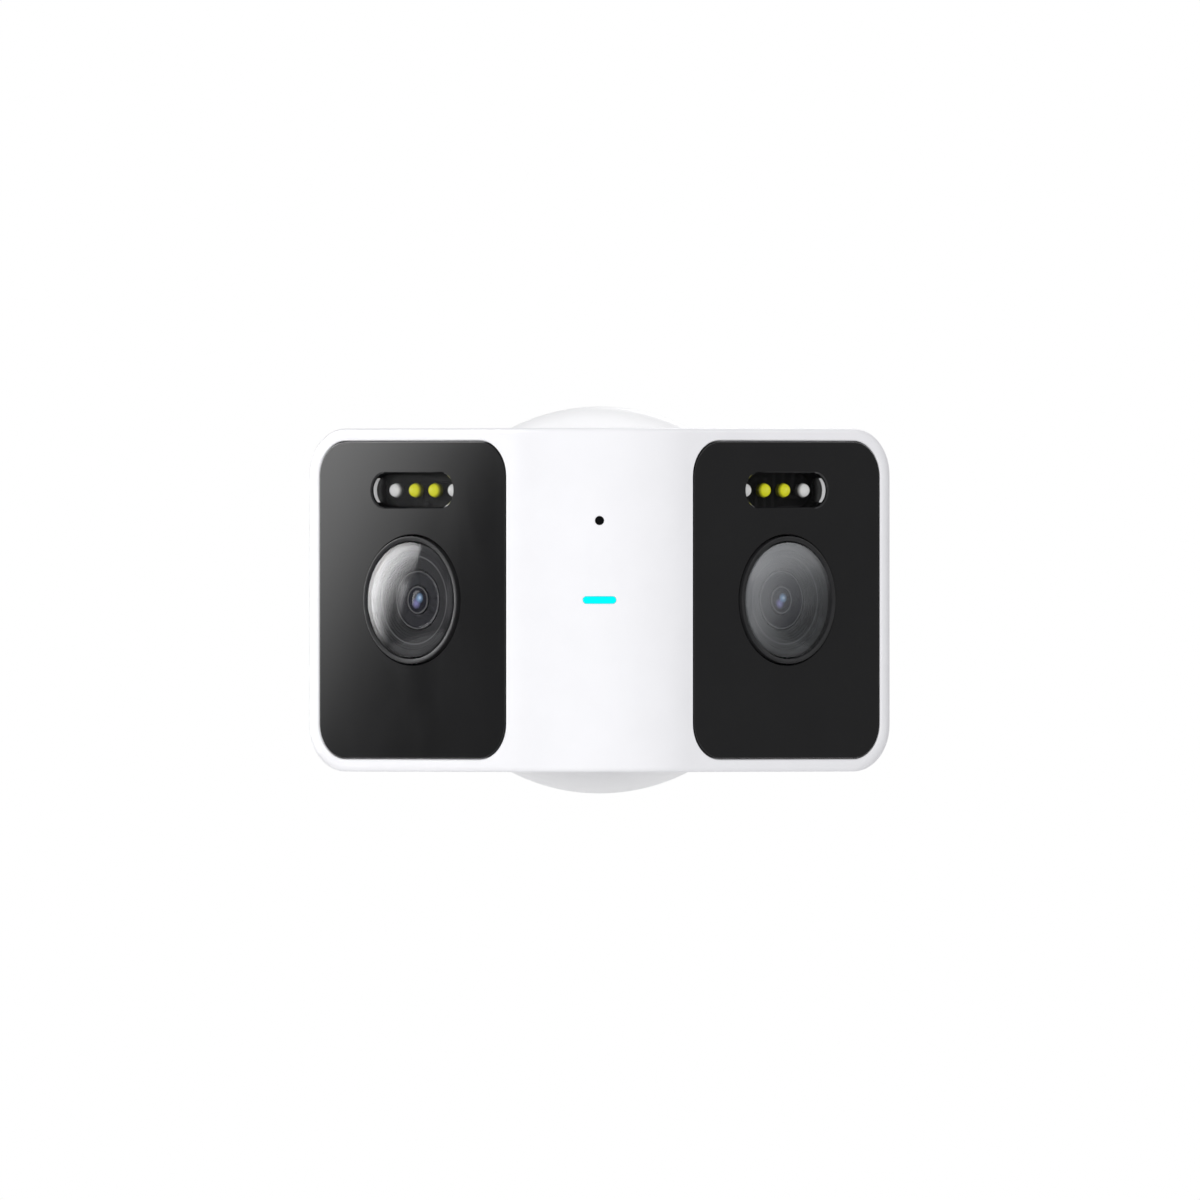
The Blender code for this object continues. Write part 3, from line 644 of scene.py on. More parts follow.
WHITE = moulded("white_plastic", (0.885, 0.884, 0.902), 0.42)
MOUNT_WHITE = moulded("mount_white_plastic", (0.95, 0.95, 0.953), 0.42)
GLOSS_BLACK = gloss_black()
BEZEL_BLACK = satin_black("bezel_black", (0.020, 0.020, 0.021), 0.42, 0.16)
STEEL = metal("zinc_plated_steel", (0.58, 0.58, 0.60), 0.30)
BRASS = metal("turned_brass", (0.70, 0.50, 0.21), 0.27)
LIGHT_RUBBER = rubber("light_rubber", (0.76, 0.76, 0.78))
CARRIED = {
    "black_plastic": moulded("black_plastic", (0.022, 0.022, 0.023), 0.5),
    "circuit_board": board("circuit_board", (0.012, 0.10, 0.045), (0.05, 0.22, 0.10)),
    "led_board_black": board("led_board_black", (0.008, 0.008, 0.009), (0.018, 0.018, 0.019), 0.1),
    "steel": STEEL,
    "brass": BRASS,
    "battery_wrap": cell_wrap(),
    "dark_rubber": rubber("dark_rubber", (0.035, 0.035, 0.036)),
    "filter_glass": coloured_glass(),
}


# ---- head shells ----

FILLET_STEPS = 8
NOSE_STEPS = 28
WING_STEPS = 8
CORNER_STEPS = 14
SIDE_STEPS = 6
BEVEL = 0.25
SIDE_LEVELS = (PARTING_DEPTH - 0.7, 51.7, 51.2)
THROUGH = -WALL - 1.0
GRILLE_BARS = 5
GRILLE_PITCH = 3.0
GRILLE_LENGTH = 11.3
GRILLE_WIDTH = 1.3
BUTTON_FLANGE = 1.0
STUD_BOSS = 9.0
STUD_HOLE = 6.3
SEAT_RADIUS = 16.2
SCREW_BOSS = 4.6
SCREW_WELL = 3.1
SCREW_HOLE = 1.8


def half_width_at(depth):
    """Half of the head's width behind its widest place."""
    tip_x = HALF_WIDTH - TIP_RADIUS
    tangent = NOSE_RADIUS * sin(WING_YAW)
    reach = (tip_x - tangent) * sin(WING_YAW) + TIP_RADIUS
    tip_depth = NOSE_RADIUS * (1 - cos(WING_YAW)) + reach / cos(WING_YAW)
    lean = SIDE_ANGLE - QUARTER
    corner_depth = HEAD_DEPTH - BACK_CORNER_RADIUS
    turn_start = tip_depth + TIP_RADIUS * sin(lean)
    turn_end = corner_depth + BACK_CORNER_RADIUS * sin(lean)
    side_x = tip_x + TIP_RADIUS * cos(lean)
    if depth <= tip_depth:
        return HALF_WIDTH
    if depth <= turn_start:
        return tip_x + sqrt(TIP_RADIUS ** 2 - (depth - tip_depth) ** 2)
    if depth <= turn_end:
        return side_x - (depth - turn_start) * tan(lean)
    corner_x = side_x - (turn_end - turn_start) * tan(lean)
    corner_x -= BACK_CORNER_RADIUS * cos(lean)
    return corner_x + sqrt(max(0.0, BACK_CORNER_RADIUS ** 2 - (depth - corner_depth) ** 2))


def silhouette(inset=0.0):
    """The head from the front as (x, z, normal x, normal z), anticlockwise from the right."""
    width = CORNER_WIDTH - inset
    height = CORNER_HEIGHT - inset
    corner_x = HALF_WIDTH - CORNER_WIDTH
    corner_z = HALF_HEIGHT - CORNER_HEIGHT
    top = HALF_HEIGHT - inset
    tangent = (NOSE_RADIUS - inset) * sin(WING_YAW)
    side = HALF_WIDTH - inset
    quarter = [(side, corner_z * i / SIDE_STEPS, 1.0, 0.0) for i in range(SIDE_STEPS)]
    for i in range(CORNER_STEPS + 1):
        angle = QUARTER * i / CORNER_STEPS
        normal = Vector((cos(angle) / width, sin(angle) / height)).normalized()
        quarter.append((corner_x + width * cos(angle), corner_z + height * sin(angle),
                        normal.x, normal.y))
    for i in range(1, WING_STEPS + 1):
        quarter.append((corner_x + (tangent - corner_x) * i / WING_STEPS, top, 0.0, 1.0))
    half_nose = NOSE_STEPS // 2
    for i in range(1, half_nose + 1):
        angle = WING_YAW * (1 - i / half_nose)
        quarter.append(((NOSE_RADIUS - inset) * sin(angle), top, 0.0, 1.0))
    upper = quarter + [(-x, z, -nx, nz) for x, z, nx, nz in reversed(quarter[:-1])]
    return upper + [(x, -z, nx, -nz) for x, z, nx, nz in reversed(upper[1:-1])]


def front_rings(inset):
    """Rings around the front half of the head, from the parting line to the edge of its face."""
    loop = silhouette(inset)
    corner_x = HALF_WIDTH - CORNER_WIDTH
    levels = [(PARTING_DEPTH, 0.0)] + [(depth, 0.0) for depth in SIDE_LEVELS]
    if inset == 0:
        levels[:1] = [(PARTING_DEPTH, BEVEL), (PARTING_DEPTH - BEVEL, 0.0)]
    rings = []
    for depth, pull in levels:
        shrink = (half_width_at(depth) - corner_x) / CORNER_WIDTH
        ring = []
        for x, z, nx, nz in loop:
            beyond = abs(x) - corner_x
            if beyond > 0:
                x = copysign(corner_x + beyond * shrink, x)
            ring.append((x - nx * pull, depth, z - nz * pull))
        rings.append(ring)
    small = max(0.3, EDGE_RADIUS - inset)
    large = TIP_RADIUS - inset
    for step in range(FILLET_STEPS + 1):
        ring = []
        for x, z, nx, nz in loop:
            share = abs(nx) ** 2 * (3 - 2 * abs(nx))
            radius = small + (large - small) * share
            slope = tan(WING_YAW) * abs(nx)
            angle = atan2(1.0, slope) * step / FILLET_STEPS
            inward = radius * (1 - cos(angle))
            centre = face_depth(x, inset) + radius * (sqrt(1 + slope ** 2) - slope)
            ring.append((x - nx * inward, centre - radius * sin(angle), z - nz * inward))
        rings.append(ring)
    return rings


def face_loops(count):
    """The faces of the front: one for each wing, and a strip of narrow ones around the nose."""
    start = SIDE_STEPS + CORNER_STEPS + WING_STEPS
    top = [start + i for i in range(NOSE_STEPS + 1)]
    mirror = {i: (count - i) % count for i in top}
    right = [i % count for i in range(-top[0], top[0] + 1)]
    left = list(range(top[-1], mirror[top[-1]] + 1))
    return [right, left] + [[a, b, mirror[b], mirror[a]] for a, b in zip(top, top[1:])]


def front_shell_mesh():
    bm = bmesh.new()
    ends = []
    for inset in (0.0, WALL):
        rows = [vertices(bm, ring) for ring in front_rings(inset)]
        stitch(bm, rows)
        for loop in face_loops(len(rows[0])):
            bm.faces.new([rows[-1][i] for i in loop])
        ends.append(rows[0])
    stitch(bm, ends)
    return outward(bm)


def front_shell():
    shell = make("front_casing", front_shell_mesh(), head_place(), WHITE)
    for _, side in SIDES:
        pocket = flared(panel_outline(GAP, 12), -PANEL_THICK - GAP, 0.0, 0.22)
        cut(shell, pocket, wing_place(side))
        cut(shell, slab(panel_outline(-LEDGE, 10), -8.0, 4.0), wing_place(side))
    cut(shell, flared(circle(1.0, 40), -6.0, 0.0, 0.15),
        head_place(z=Box("microphone").middle.z, turn=FACING_FRONT))
    pipe = Box("status_light_pipe").size
    cut(shell, flared(stadium(pipe.x + 0.1, pipe.z + 0.1), -6.0, 0.0, 0.05),
        head_place(turn=FACING_FRONT))
    grille_y = Box("speaker").middle.y
    bar = [(-y, x) for x, y in stadium(GRILLE_LENGTH, GRILLE_WIDTH, 10)]
    for i in range(GRILLE_BARS):
        x = (i - (GRILLE_BARS - 1) / 2) * GRILLE_PITCH
        cut(shell, flared(bar, THROUGH, 0.0, BEVEL), under(x, grille_y))
    box = Box("port_flap")
    recess = rounded_rectangle(box.size.x + 2 * GAP, box.size.y + 2 * GAP, 2.0)
    cut(shell, flared(recess, -1.9, 0.0, BEVEL), under(*box.middle.xy))
    cut(shell, slab(stadium(10.4, 4.4), THROUGH, 0.5), under(*box.middle.xy))
    for name in ("power_button", "reset_button"):
        box = Box(name)
        hole = circle(box.size.x / 2 - BUTTON_FLANGE + GAP)
        cut(shell, flared(hole, THROUGH, 0.0, BEVEL), under(*box.middle.xy))
    piece(shell, "head", "casing_white", "front_shell")


def rear_shell():
    bend = HEAD_DEPTH - BACK_EDGE_RADIUS
    levels = [(REAR_START, BEVEL), (REAR_START + BEVEL, 0.0), (REAR_START + 1.5, 0.0)]
    steps = 12
    for i in range(steps + 1):
        levels.append((bend + BACK_EDGE_RADIUS * sin(QUARTER * i / steps), 0.0))
    rings = []
    for depth, pull in levels:
        drop = pull
        if depth > bend:
            fall = BACK_EDGE_RADIUS ** 2 - (depth - bend) ** 2
            drop = BACK_EDGE_RADIUS - sqrt(max(0.0, fall))
        outline = rounded_rectangle(2 * (half_width_at(depth) - pull), 2 * (HALF_HEIGHT - drop),
                                    CORNER_WIDTH - pull, CORNER_STEPS, CORNER_HEIGHT - pull)
        rings.append([(x, z, -depth) for x, z in outline])
    shell = make("rear_casing", loft(rings), head_place(turn=FACING_FRONT), WHITE)
    hollow = rounded_rectangle(2 * (half_width_at(58.0) - WALL), 2 * (HALF_HEIGHT - WALL),
                               CORNER_WIDTH - WALL, 6, CORNER_HEIGHT - WALL)
    cut(shell, slab(hollow, -(HEAD_DEPTH - WALL), -REAR_START + 2.0, bottom=4.0),
        head_place(turn=FACING_FRONT))
    back = head_place(depth=HEAD_DEPTH, turn=FACING_BACK)
    add(shell, slab(circle(STUD_BOSS), -7.4, -WALL / 2), back)
    cut(shell, flared(circle(STUD_HOLE), -9.0, 0.0, 0.4), back)
    cut(shell, flared(circle(SEAT_RADIUS), -0.6, 0.0, 0.2), back)
    screw_x = Box("case_screw_right").middle.x
    for x in (-screw_x, screw_x):
        place = head_place(x=x, depth=HEAD_DEPTH, turn=FACING_BACK)
        add(shell, slab(circle(SCREW_BOSS, 40), -9.0, -WALL / 2), place)
        cut(shell, flared(circle(SCREW_WELL, 48), -4.5, 0.0, 0.35), place)
        cut(shell, slab(circle(SCREW_HOLE, 32), -12.0, -2.0), place)
    piece(shell, "head", "casing_white", "rear_shell")


# ---- a wing's panel, lens and floodlight ----

BEZEL_INNER = 12.9
BEZEL_CREST = 13.55
BEZEL_RADIUS = 14.0
BEZEL_PROUD = 0.6
DOME_RADIUS = 12.6
DOME_RIM = 0.1
DOME_SHOULDER = 0.6
DOME_APEX = 2.3
DOME_THICK = 0.45
DOME_TAPER = 0.95
BAFFLE_INNER = 6.7
BAFFLE_TOP = 10.8
BAFFLE_RINGS = 7
BARREL_RADIUS = 6.4
BARREL_BORE = 3.2
BARREL_TOP = -1.9
BARREL_END = -15.2
ELEMENT_RADIUS = 2.9
LED_RADIUS = 1.65
LED_LENS_RADIUS = 1.42
LED_PITCH = 5.8
LED_SHIFT = 0.7
LED_TOP = -3.7
LED_SHOULDER = -4.9
WINDOW_TOP = -2.0
WINDOW_BACK = -2.8
# A crescent of light grey plastic at each slot's outer end is a painted highlight for the light on the
# slot's end wall.
CRESCENT_THICK = 0.45
CRESCENT_BACK = -1.3
ROUND = 128


def panel(label, side):
    sheet = make(f"{label}_front_panel", slab(panel_outline(0.0, 14), -PANEL_THICK, 0.0, top=0.15),
                 wing_place(side), GLOSS_BLACK)
    place = wing_place(side, b=SLOT_RISE)
    add(sheet, slab(slot_outline(SLOT_WALL), -SLOT_DEPTH, -PANEL_THICK / 2), place)
    cut(sheet, flared(slot_outline(), -SLOT_DEPTH - 2.0, 0.0, 0.3), place)
    cut(sheet, flared(circle(BEZEL_RADIUS + GAP, 96), -PANEL_THICK - 2.0, 0.0, 0.2),
        wing_place(side))
    piece(sheet, "head", "gloss_black_panel", f"{label}_panel")


def bezel(label, side):
    profile = [(BEZEL_INNER, -PANEL_THICK), (BEZEL_RADIUS, -PANEL_THICK),
               (BEZEL_RADIUS, BEZEL_PROUD), (BEZEL_CREST, BEZEL_PROUD),
               (BEZEL_INNER, BEZEL_PROUD - 0.15), (BEZEL_INNER, -PANEL_THICK)]
    turned_piece(f"{label}_bezel_ring", rounded(profile, 0.28, 5)[:-1], ROUND, wing_place(side),
                 BEZEL_BLACK, "head", "black_bezel", f"{label}_lens_bezel", closed=True)


def dome(label, side, cover):
    rise = DOME_APEX - DOME_SHOULDER
    steps = 18
    shares = [i / steps for i in range(steps + 1)]
    outside = [(DOME_RADIUS * share, DOME_APEX - rise * share ** 2) for share in shares]
    inside = [(x * DOME_TAPER, z - DOME_THICK) for x, z in reversed(outside)]
    rim = [(DOME_RADIUS, DOME_RIM), (DOME_RADIUS * DOME_TAPER, DOME_RIM)]
    turned_piece(f"{label}_dome", outside + rim + inside, ROUND, wing_place(side), cover, "head",
                 "dome_glass", f"{label}_lens_dome")


def baffle(label, side, look):
    """Matt cone between the dome and the lens, with fine light-trap rings."""
    profile = [(BAFFLE_INNER, -3.6), (DOME_RADIUS, -3.6), (DOME_RADIUS, -0.4), (11.0, -0.2)]
    for i in range(BAFFLE_RINGS):
        share = i / BAFFLE_RINGS
        radius = BAFFLE_TOP - (BAFFLE_TOP - BAFFLE_INNER - 0.2) * share
        height = -0.45 - 1.25 * share
        profile += [(radius, height), (radius - 0.38, height - 0.02), (radius - 0.42, height - 0.17)]
    profile.append((BAFFLE_INNER, BARREL_TOP))
    turned_piece(f"{label}_baffle_cone", profile, ROUND, wing_place(side), look, "head",
                 "black_bezel", f"{label}_lens_baffle", closed=True, limit=25.0)


def barrel(label, side, look):
    profile = [(BARREL_BORE, BARREL_END), (BARREL_RADIUS, BARREL_END),
               (BARREL_RADIUS, BARREL_TOP), (6.05, BARREL_TOP), (5.8, BARREL_TOP - 0.25),
               (3.5, BARREL_TOP - 0.12), (BARREL_BORE, BARREL_TOP - 0.3),
               (BARREL_BORE, BARREL_END)]
    turned_piece(f"{label}_barrel", rounded(profile, 0.12, 3)[:-1], ROUND, wing_place(side), look,
                 "head", "black_bezel", f"{label}_lens_barrel", closed=True)


def painted_edge_highlight_rings(label, side, look):
    """Thin lighter rings, painted highlights at the edges of the barrel and the front element, and on
    the baffle.
    """
    for name, inner, outer, height in (("barrel", 6.12, 6.38, BARREL_TOP + 0.02),
                                       ("element", 2.72, 3.02, BARREL_TOP + 0.09),
                                       ("baffle", 9.55, 10.0, -0.72)):
        turned_piece(f"{label}_{name}_trim", rectangle(inner, outer, height - 0.2, height), ROUND,
                     wing_place(side), look, "head", "black_bezel", closed=True)


def element(label, side):
    top = BARREL_TOP
    profile = [(0, -6.0), (ELEMENT_RADIUS, -6.0), (ELEMENT_RADIUS, top - 0.1),
               (2.75, top + 0.05), (2.35, top + 0.05), (2.15, top - 0.12)]
    steps = 8
    for i in range(steps + 1):
        share = 1 - i / steps
        profile.append((2.1 * share, top - 0.12 + 0.5 * (1 - share ** 2)))
    turned_piece(f"{label}_front_element", profile, 96, wing_place(side), painted_reflection_glass(label, side),
                 "head", "coated_lens_glass", f"{label}_lens_element", limit=40.0)


def floodlight(label, side, window_look, highlight_crescent_look, kinds):
    place = wing_place(side, b=SLOT_RISE)
    pane = slot_outline(-GAP)
    window = make(f"{label}_window", slab(pane, WINDOW_BACK, WINDOW_TOP, top=0.2), place,
                  window_look)
    piece(window, "head", "smoked_window", f"{label}_led_window")
    # A painted highlight: a light grey crescent left at the slot's outer end, where a shifted slot cuts
    # the pane's outline.
    crescent = make(f"{label}_highlight_crescent", slab(pane, CRESCENT_BACK, -0.35, top=0.1), place, highlight_crescent_look)
    cut(crescent, slab(slot_outline(), WINDOW_TOP - 1.0, 1.0),
        wing_place(side, -side * CRESCENT_THICK, SLOT_RISE))
    piece(crescent, "head", "clear_led")
    base_height = -SLOT_DEPTH - 0.1
    rise = LED_TOP - LED_SHOULDER
    steps = 10
    profile = [(0, base_height), (LED_RADIUS, base_height), (LED_RADIUS, LED_SHOULDER - 0.3)]
    for step in range(steps):
        angle = QUARTER * step / steps
        profile.append((LED_LENS_RADIUS * cos(angle), LED_SHOULDER + rise * sin(angle)))
    profile.append((0, LED_TOP))
    for i, (kind, slot, look) in enumerate(kinds):
        spot = wing_place(side, side * ((1.5 - i) * LED_PITCH + LED_SHIFT), SLOT_RISE)
        turned_piece(f"{label}_{kind}_emitter", profile, 56, spot, look, "head", slot,
                     f"{label}_{kind}")


def wings():
    middle = PANEL_X
    # The right dome gets a strong painted sheen and the left a faint one.
    covers = {"left": clear_cover("clear_dome_left", -middle, (0.90, 0.90, 0.91), 0.02, 1.4),
              "right": clear_cover("clear_dome_right", middle, (0.88, 0.89, 0.90), 0.20, 1.35)}
    window_look = clear_cover("smoked_window", 0.0, (0.88, 0.88, 0.88), 0.004, 1.12)
    # One matt black, painted darker on the left baffle and lighter on the right, for the light each
    # lens shows.
    cones = {"left": satin_black("matt_baffle_painted_dark", (0.018, 0.018, 0.019), 0.62, 0.1),
             "right": satin_black("matt_baffle_painted_light", (0.060, 0.060, 0.060), 0.62, 0.1)}
    tube = satin_black("dark_barrel", (0.007, 0.007, 0.011), 0.30, 0.15)
    # Lighter grey for the painted edge highlights.
    painted_edge_highlight = satin_black("painted_edge_highlight_ring", (0.10, 0.10, 0.10), 0.45, 0.2)
    # Light grey for the painted highlight crescents.
    highlight_crescent_look = moulded("painted_highlight_crescent", (0.70, 0.70, 0.71), 0.35)
    # Both kinds of emitter get a painted glow, and painted shade at their shoulders.
    yellow = emitter_look("phosphor", (0.45, 0.45, 0.03), (0.10, 0.10, 0.01), (0.9, 0.9, 0.02),
                          0.55)
    clear = emitter_look("clear_resin", (0.42, 0.42, 0.42), (0.06, 0.06, 0.06), (1.0, 1.0, 1.0),
                         0.5)
    kinds = (("ir_led_outer", "clear_led", clear), ("flood_led_outer", "phosphor_led", yellow),
             ("flood_led_inner", "phosphor_led", yellow), ("ir_led_inner", "clear_led", clear))
    for label, side in SIDES:
        panel(label, side)
        bezel(label, side)
        dome(label, side, covers[label])
        baffle(label, side, cones[label])
        barrel(label, side, tube)
        painted_edge_highlight_rings(label, side, painted_edge_highlight)
        element(label, side)
        floodlight(label, side, window_look, highlight_crescent_look, kinds)


# ---- small parts of the head ----

def status_light():
    box = Box("status_light_pipe")
    outline = stadium(box.size.x, box.size.z)
    pipe = make("status_bar", slab(outline, NOSE_Y - box.high.y, NOSE_Y - box.low.y, top=0.15),
                head_place(turn=FACING_FRONT), lit_cyan())
    piece(pipe, "head", "cyan_light_pipe", "status_light_pipe")


def microphone():
    """The capsule behind the hole: a dark fine mesh in a ring."""
    box = Box("microphone")
    radius = box.size.x / 2
    depth = box.size.y
    mesh = depth - 0.3
    profile = [(0, 0), (radius, 0), (radius, depth), (1.2, depth), (1.1, mesh), (0, mesh)]
    place = place_at(box.middle.x, box.high.y, box.middle.z, FACING_FRONT)
    look = satin_black("capsule_mesh", (0.010, 0.010, 0.011), 0.7)
    turned_piece("microphone_capsule", profile, 48, place, look, "head", "black_plastic",
                 "microphone")


def flap():
    """The rubber cover of the port, with a plug inside and three grip grooves."""
    box = Box("port_flap")
    x, y = box.middle.xy
    outline = rounded_rectangle(box.size.x, box.size.y, 1.7, 8)
    cover = make("port_cover", slab(outline, -1.6, 0.0, top=0.35), under(x, y), LIGHT_RUBBER)
    add(cover, slab(stadium(7.0, 1.6, 12), BOTTOM - box.high.z, -0.8, bottom=0.3), under(x, y))
    groove = stadium(box.size.x * 0.34, 0.5, 6)
    for i in range(3):
        cut(cover, flared(groove, -0.25, 0.0, 0.1), under(x, y - box.size.y * 0.22 + i))
    piece(cover, "port_flap", "light_rubber", "port_flap")


def push_button(node, name, marked):
    box = Box(node)
    radius = box.size.x / 2 - BUTTON_FLANGE
    back = -box.size.z
    flange = radius + BUTTON_FLANGE
    profile = [(0, back), (radius * 0.5, back), (radius * 0.5, back + 0.8), (flange, back + 0.8),
               (flange, back + 1.8), (radius, back + 1.8), (radius, 0.0), (radius * 0.72, 0.0),
               (radius * 0.66, -0.18), (0, -0.18)]
    place = place_at(*box.middle.xy, box.low.z, FACING_DOWN)
    button = make(name, turned(rounded(profile, 0.2, 4), 64), place, LIGHT_RUBBER)
    if marked:
        cut(button, turned(rectangle(0.95, 1.2, -0.45, 0.0), 40, closed=True), place)
    piece(button, node, "light_rubber", node)


def screw(name, node, body, place, radius, length):
    """A pan-head screw with a cross recess."""
    shank = 1.5
    profile = [(0, -length), (shank, -length), (shank, -2.2), (radius, -2.2), (radius, -0.6),
               (radius * 0.6, 0.0), (0, 0.0)]
    body_mesh = make(name, turned(rounded(profile, 0.4, 4), 56), place, STEEL)
    for angle in (0.0, QUARTER):
        bar = slab(rectangle(-1.3, 1.3, -0.28, 0.28), -1.3, 1.0)
        cut(body_mesh, bar, place @ Matrix.Rotation(angle, 4, "Z"))
    piece(body_mesh, body, "steel", node)


def screws():
    for label, _ in SIDES:
        box = Box(f"case_screw_{label}")
        place = place_at(box.middle.x, box.high.y, box.middle.z, FACING_BACK)
        screw(f"{label}_case_screw", f"case_screw_{label}", "head", place, box.size.x / 2,
              box.size.y)
    place = place_at(*LOCK_SCREW.middle.xy, LOCK_SCREW.low.z, FACING_DOWN)
    screw("base_screw", "base_lock_screw", "wall_mount", place, LOCK_SCREW.size.x / 2,
          LOCK_SCREW.size.z)


def port():
    """The charging port's metal shell with its contact tongue."""
    box = Box("usb_port")
    low, high = box.low.z, box.high.z
    place = place_at(*box.middle.xy)
    socket = make("charging_port", slab(stadium(9.6, 3.8), low, high, bottom=0.1), place, STEEL)
    cut(socket, slab(stadium(8.8, 3.0), low - 2.0, high - 0.6), place)
    add(socket, slab(rounded_rectangle(6.6, 0.7, 0.2, 3), low + 0.6, high - 0.55), place)
    piece(socket, "head", "steel", "usb_port")


def thread(turns, length, *points):
    """The profile of a thread; each turn repeats points of (radius, share of the pitch)."""
    pitch = length / turns
    return [(radius, pitch * (i + share)) for i in range(turns) for radius, share in points]


def insert():
    """The threaded insert in the back of the head."""
    box = Box("thread_insert")
    bore = 3.5
    length = box.size.y
    profile = [(bore, 0.0)] + thread(9, length, (bore, 0.2), (bore - 0.25, 0.6))
    profile += [(bore, length), (box.high.x, length), (box.high.x, 0.0)]
    turned_piece("threaded_insert", profile, 64, place_at(y=box.high.y, turn=FACING_FRONT), BRASS,
                 "head", "brass", "thread_insert", closed=True, limit=20.0)


# ---- wall mount ----

BASE_WALL = 2.5
BASE_EDGE = 5.0
PLATE_RADIUS = 39.5
PLATE_THICK = 2.5
SLOT_X = 24.0
FLANGE_RADIUS = 17.0
FLANGE_FRONT = 23.0
LUG_RADIUS = 8.0
PIN_HOLE = 2.8
DISC_BACK = 43.0
DISC_RADIUS = 15.0


def base():
    rim = arc(BASE_RADIUS - BASE_EDGE, BASE_DEPTH - BASE_EDGE, BASE_EDGE, 0, QUARTER, 14)
    inner = BASE_RADIUS - BASE_WALL
    inside = BASE_DEPTH - BASE_WALL
    profile = [(inner, 0.0), (BASE_RADIUS - 0.3, 0.0), (BASE_RADIUS, 0.3)] + rim
    profile += [(17.9, BASE_DEPTH), (17.7, BASE_DEPTH - 0.35), (17.3, BASE_DEPTH - 0.35),
                (17.1, BASE_DEPTH), (8.2, BASE_DEPTH), (8.0, BASE_DEPTH - 0.2), (8.0, inside),
                (inner - 3.5, inside), (inner, inside - 3.5)]
    cover = make("base_shell", turned(profile, 160, closed=True), MOUNT_AXIS, MOUNT_WHITE)
    place = place_at(0.0, LOCK_SCREW.middle.y, -BASE_RADIUS, FACING_DOWN)
    cut(cover, slab(circle(SCREW_HOLE, 32), -5.0, 4.0), place)
    cut(cover, flared(circle(3.0, 48), -1.35, -0.15, 0.3), place)
    piece(cover, "wall_mount", "casing_white", "base_cover")


def plate():
    """The steel plate against the wall, with its two screw slots and the lock screw's tab."""
    sheet = make("wall_bracket", slab(circle(PLATE_RADIUS, 120), 0.0, PLATE_THICK, top=0.4, bottom=0.2),
                 MOUNT_AXIS, STEEL)
    for x in (-SLOT_X, SLOT_X):
        cut(sheet, flared(stadium(10.0, 5.0, 12), -2.0, PLATE_THICK, 0.5),
            place_at(x=x, turn=FACING_FRONT))
    add(sheet, slab(rectangle(-6, 6, -38.6, -33.5), 1.2, -Box("wall_plate").low.y), MOUNT_AXIS)
    cut(sheet, slab(circle(SCREW_HOLE, 32), -45.0, -30.0), place_at(y=LOCK_SCREW.middle.y))
    piece(sheet, "wall_mount", "steel", "wall_plate")


def lug(low, high, edge, root_y):
    """A flat lug across the pivot, from a root to a round end about the pivot."""
    start = QUARTER if root_y > PIVOT_Y else -QUARTER
    outline = arc(0, 0, LUG_RADIUS, start, start + pi, 40)
    for corner in (outline[-1], outline[0]):
        outline.append((root_y - PIVOT_Y, corner[1]))
    return slab(outline, low, high, top=edge, bottom=edge)


def hub():
    """The turning half of the mount: a flange and two cheeks that hold the tilting arm."""
    back = BASE_DEPTH + 1.3
    end = BASE_DEPTH - 2.4
    profile = [(0, end), (7.6, end), (7.6, back), (FLANGE_RADIUS, back),
               (FLANGE_RADIUS, FLANGE_FRONT), (0, FLANGE_FRONT)]
    body = make("swivel_base", turned(rounded(profile, 0.9, 6), ROUND), MOUNT_AXIS, MOUNT_WHITE)
    for low, high in ((-10.7, -6.2), (6.2, 10.7)):
        add(body, lug(low, high, 0.6, 1.0 - FLANGE_FRONT), PIVOT)
    cut(body, slab(circle(PIN_HOLE, 40), -20.0, 20.0), PIVOT)
    cut(body, slab(circle(2.3, 32), BASE_DEPTH - 5.0, 21.5), MOUNT_AXIS)
    piece(body, "swivel_arm", "casing_white", "swivel_hub")


def arm():
    """The tilting half of the mount: a tongue between the cheeks and a disc behind the head."""
    front = -Box("knuckle").low.y
    profile = [(0, DISC_BACK), (DISC_RADIUS - 2.0, DISC_BACK), (DISC_RADIUS, DISC_BACK + 1.5),
               (DISC_RADIUS, front), (0, front)]
    body = make("tilt_knuckle", turned(rounded(profile, 0.8, 6), 112), MOUNT_AXIS, MOUNT_WHITE)
    add(body, lug(-5.9, 5.9, 0.5, -DISC_BACK - 1.0), PIVOT)
    cut(body, slab(circle(PIN_HOLE, 40), -20.0, 20.0), PIVOT)
    cut(body, slab(circle(3.4, 40), DISC_BACK - 1.0, 50.0), MOUNT_AXIS)
    piece(body, "tilt_arm", "casing_white", "knuckle")


def knob():
    """A six-lobed hand nut with a dished face."""
    lobes = 6
    count = 144
    outline = []
    for x, y in arc(0, 0, 1.0, 0, 2 * pi, count)[:-1]:
        radius = 7.1 + 0.4 * cos(lobes * atan2(y, x))
        outline.append((radius * x, radius * y))
    inner, outer = KNOB.low.x, KNOB.high.x
    nut = make("hand_knob", slab(outline, inner, outer, top=1.0, bottom=0.5, steps=5), PIVOT,
               MOUNT_WHITE)
    cut(nut, slab(circle(PIN_HOLE, 40), inner - 2.0, 17.6), PIVOT)
    dish = [(0, outer - 0.5), (3.4, outer - 0.5), (4.4, outer + 0.5), (0, outer + 0.5)]
    cut(nut, turned(dish, 64), PIVOT)
    piece(nut, "lock_knob", "casing_white", "lock_knob")


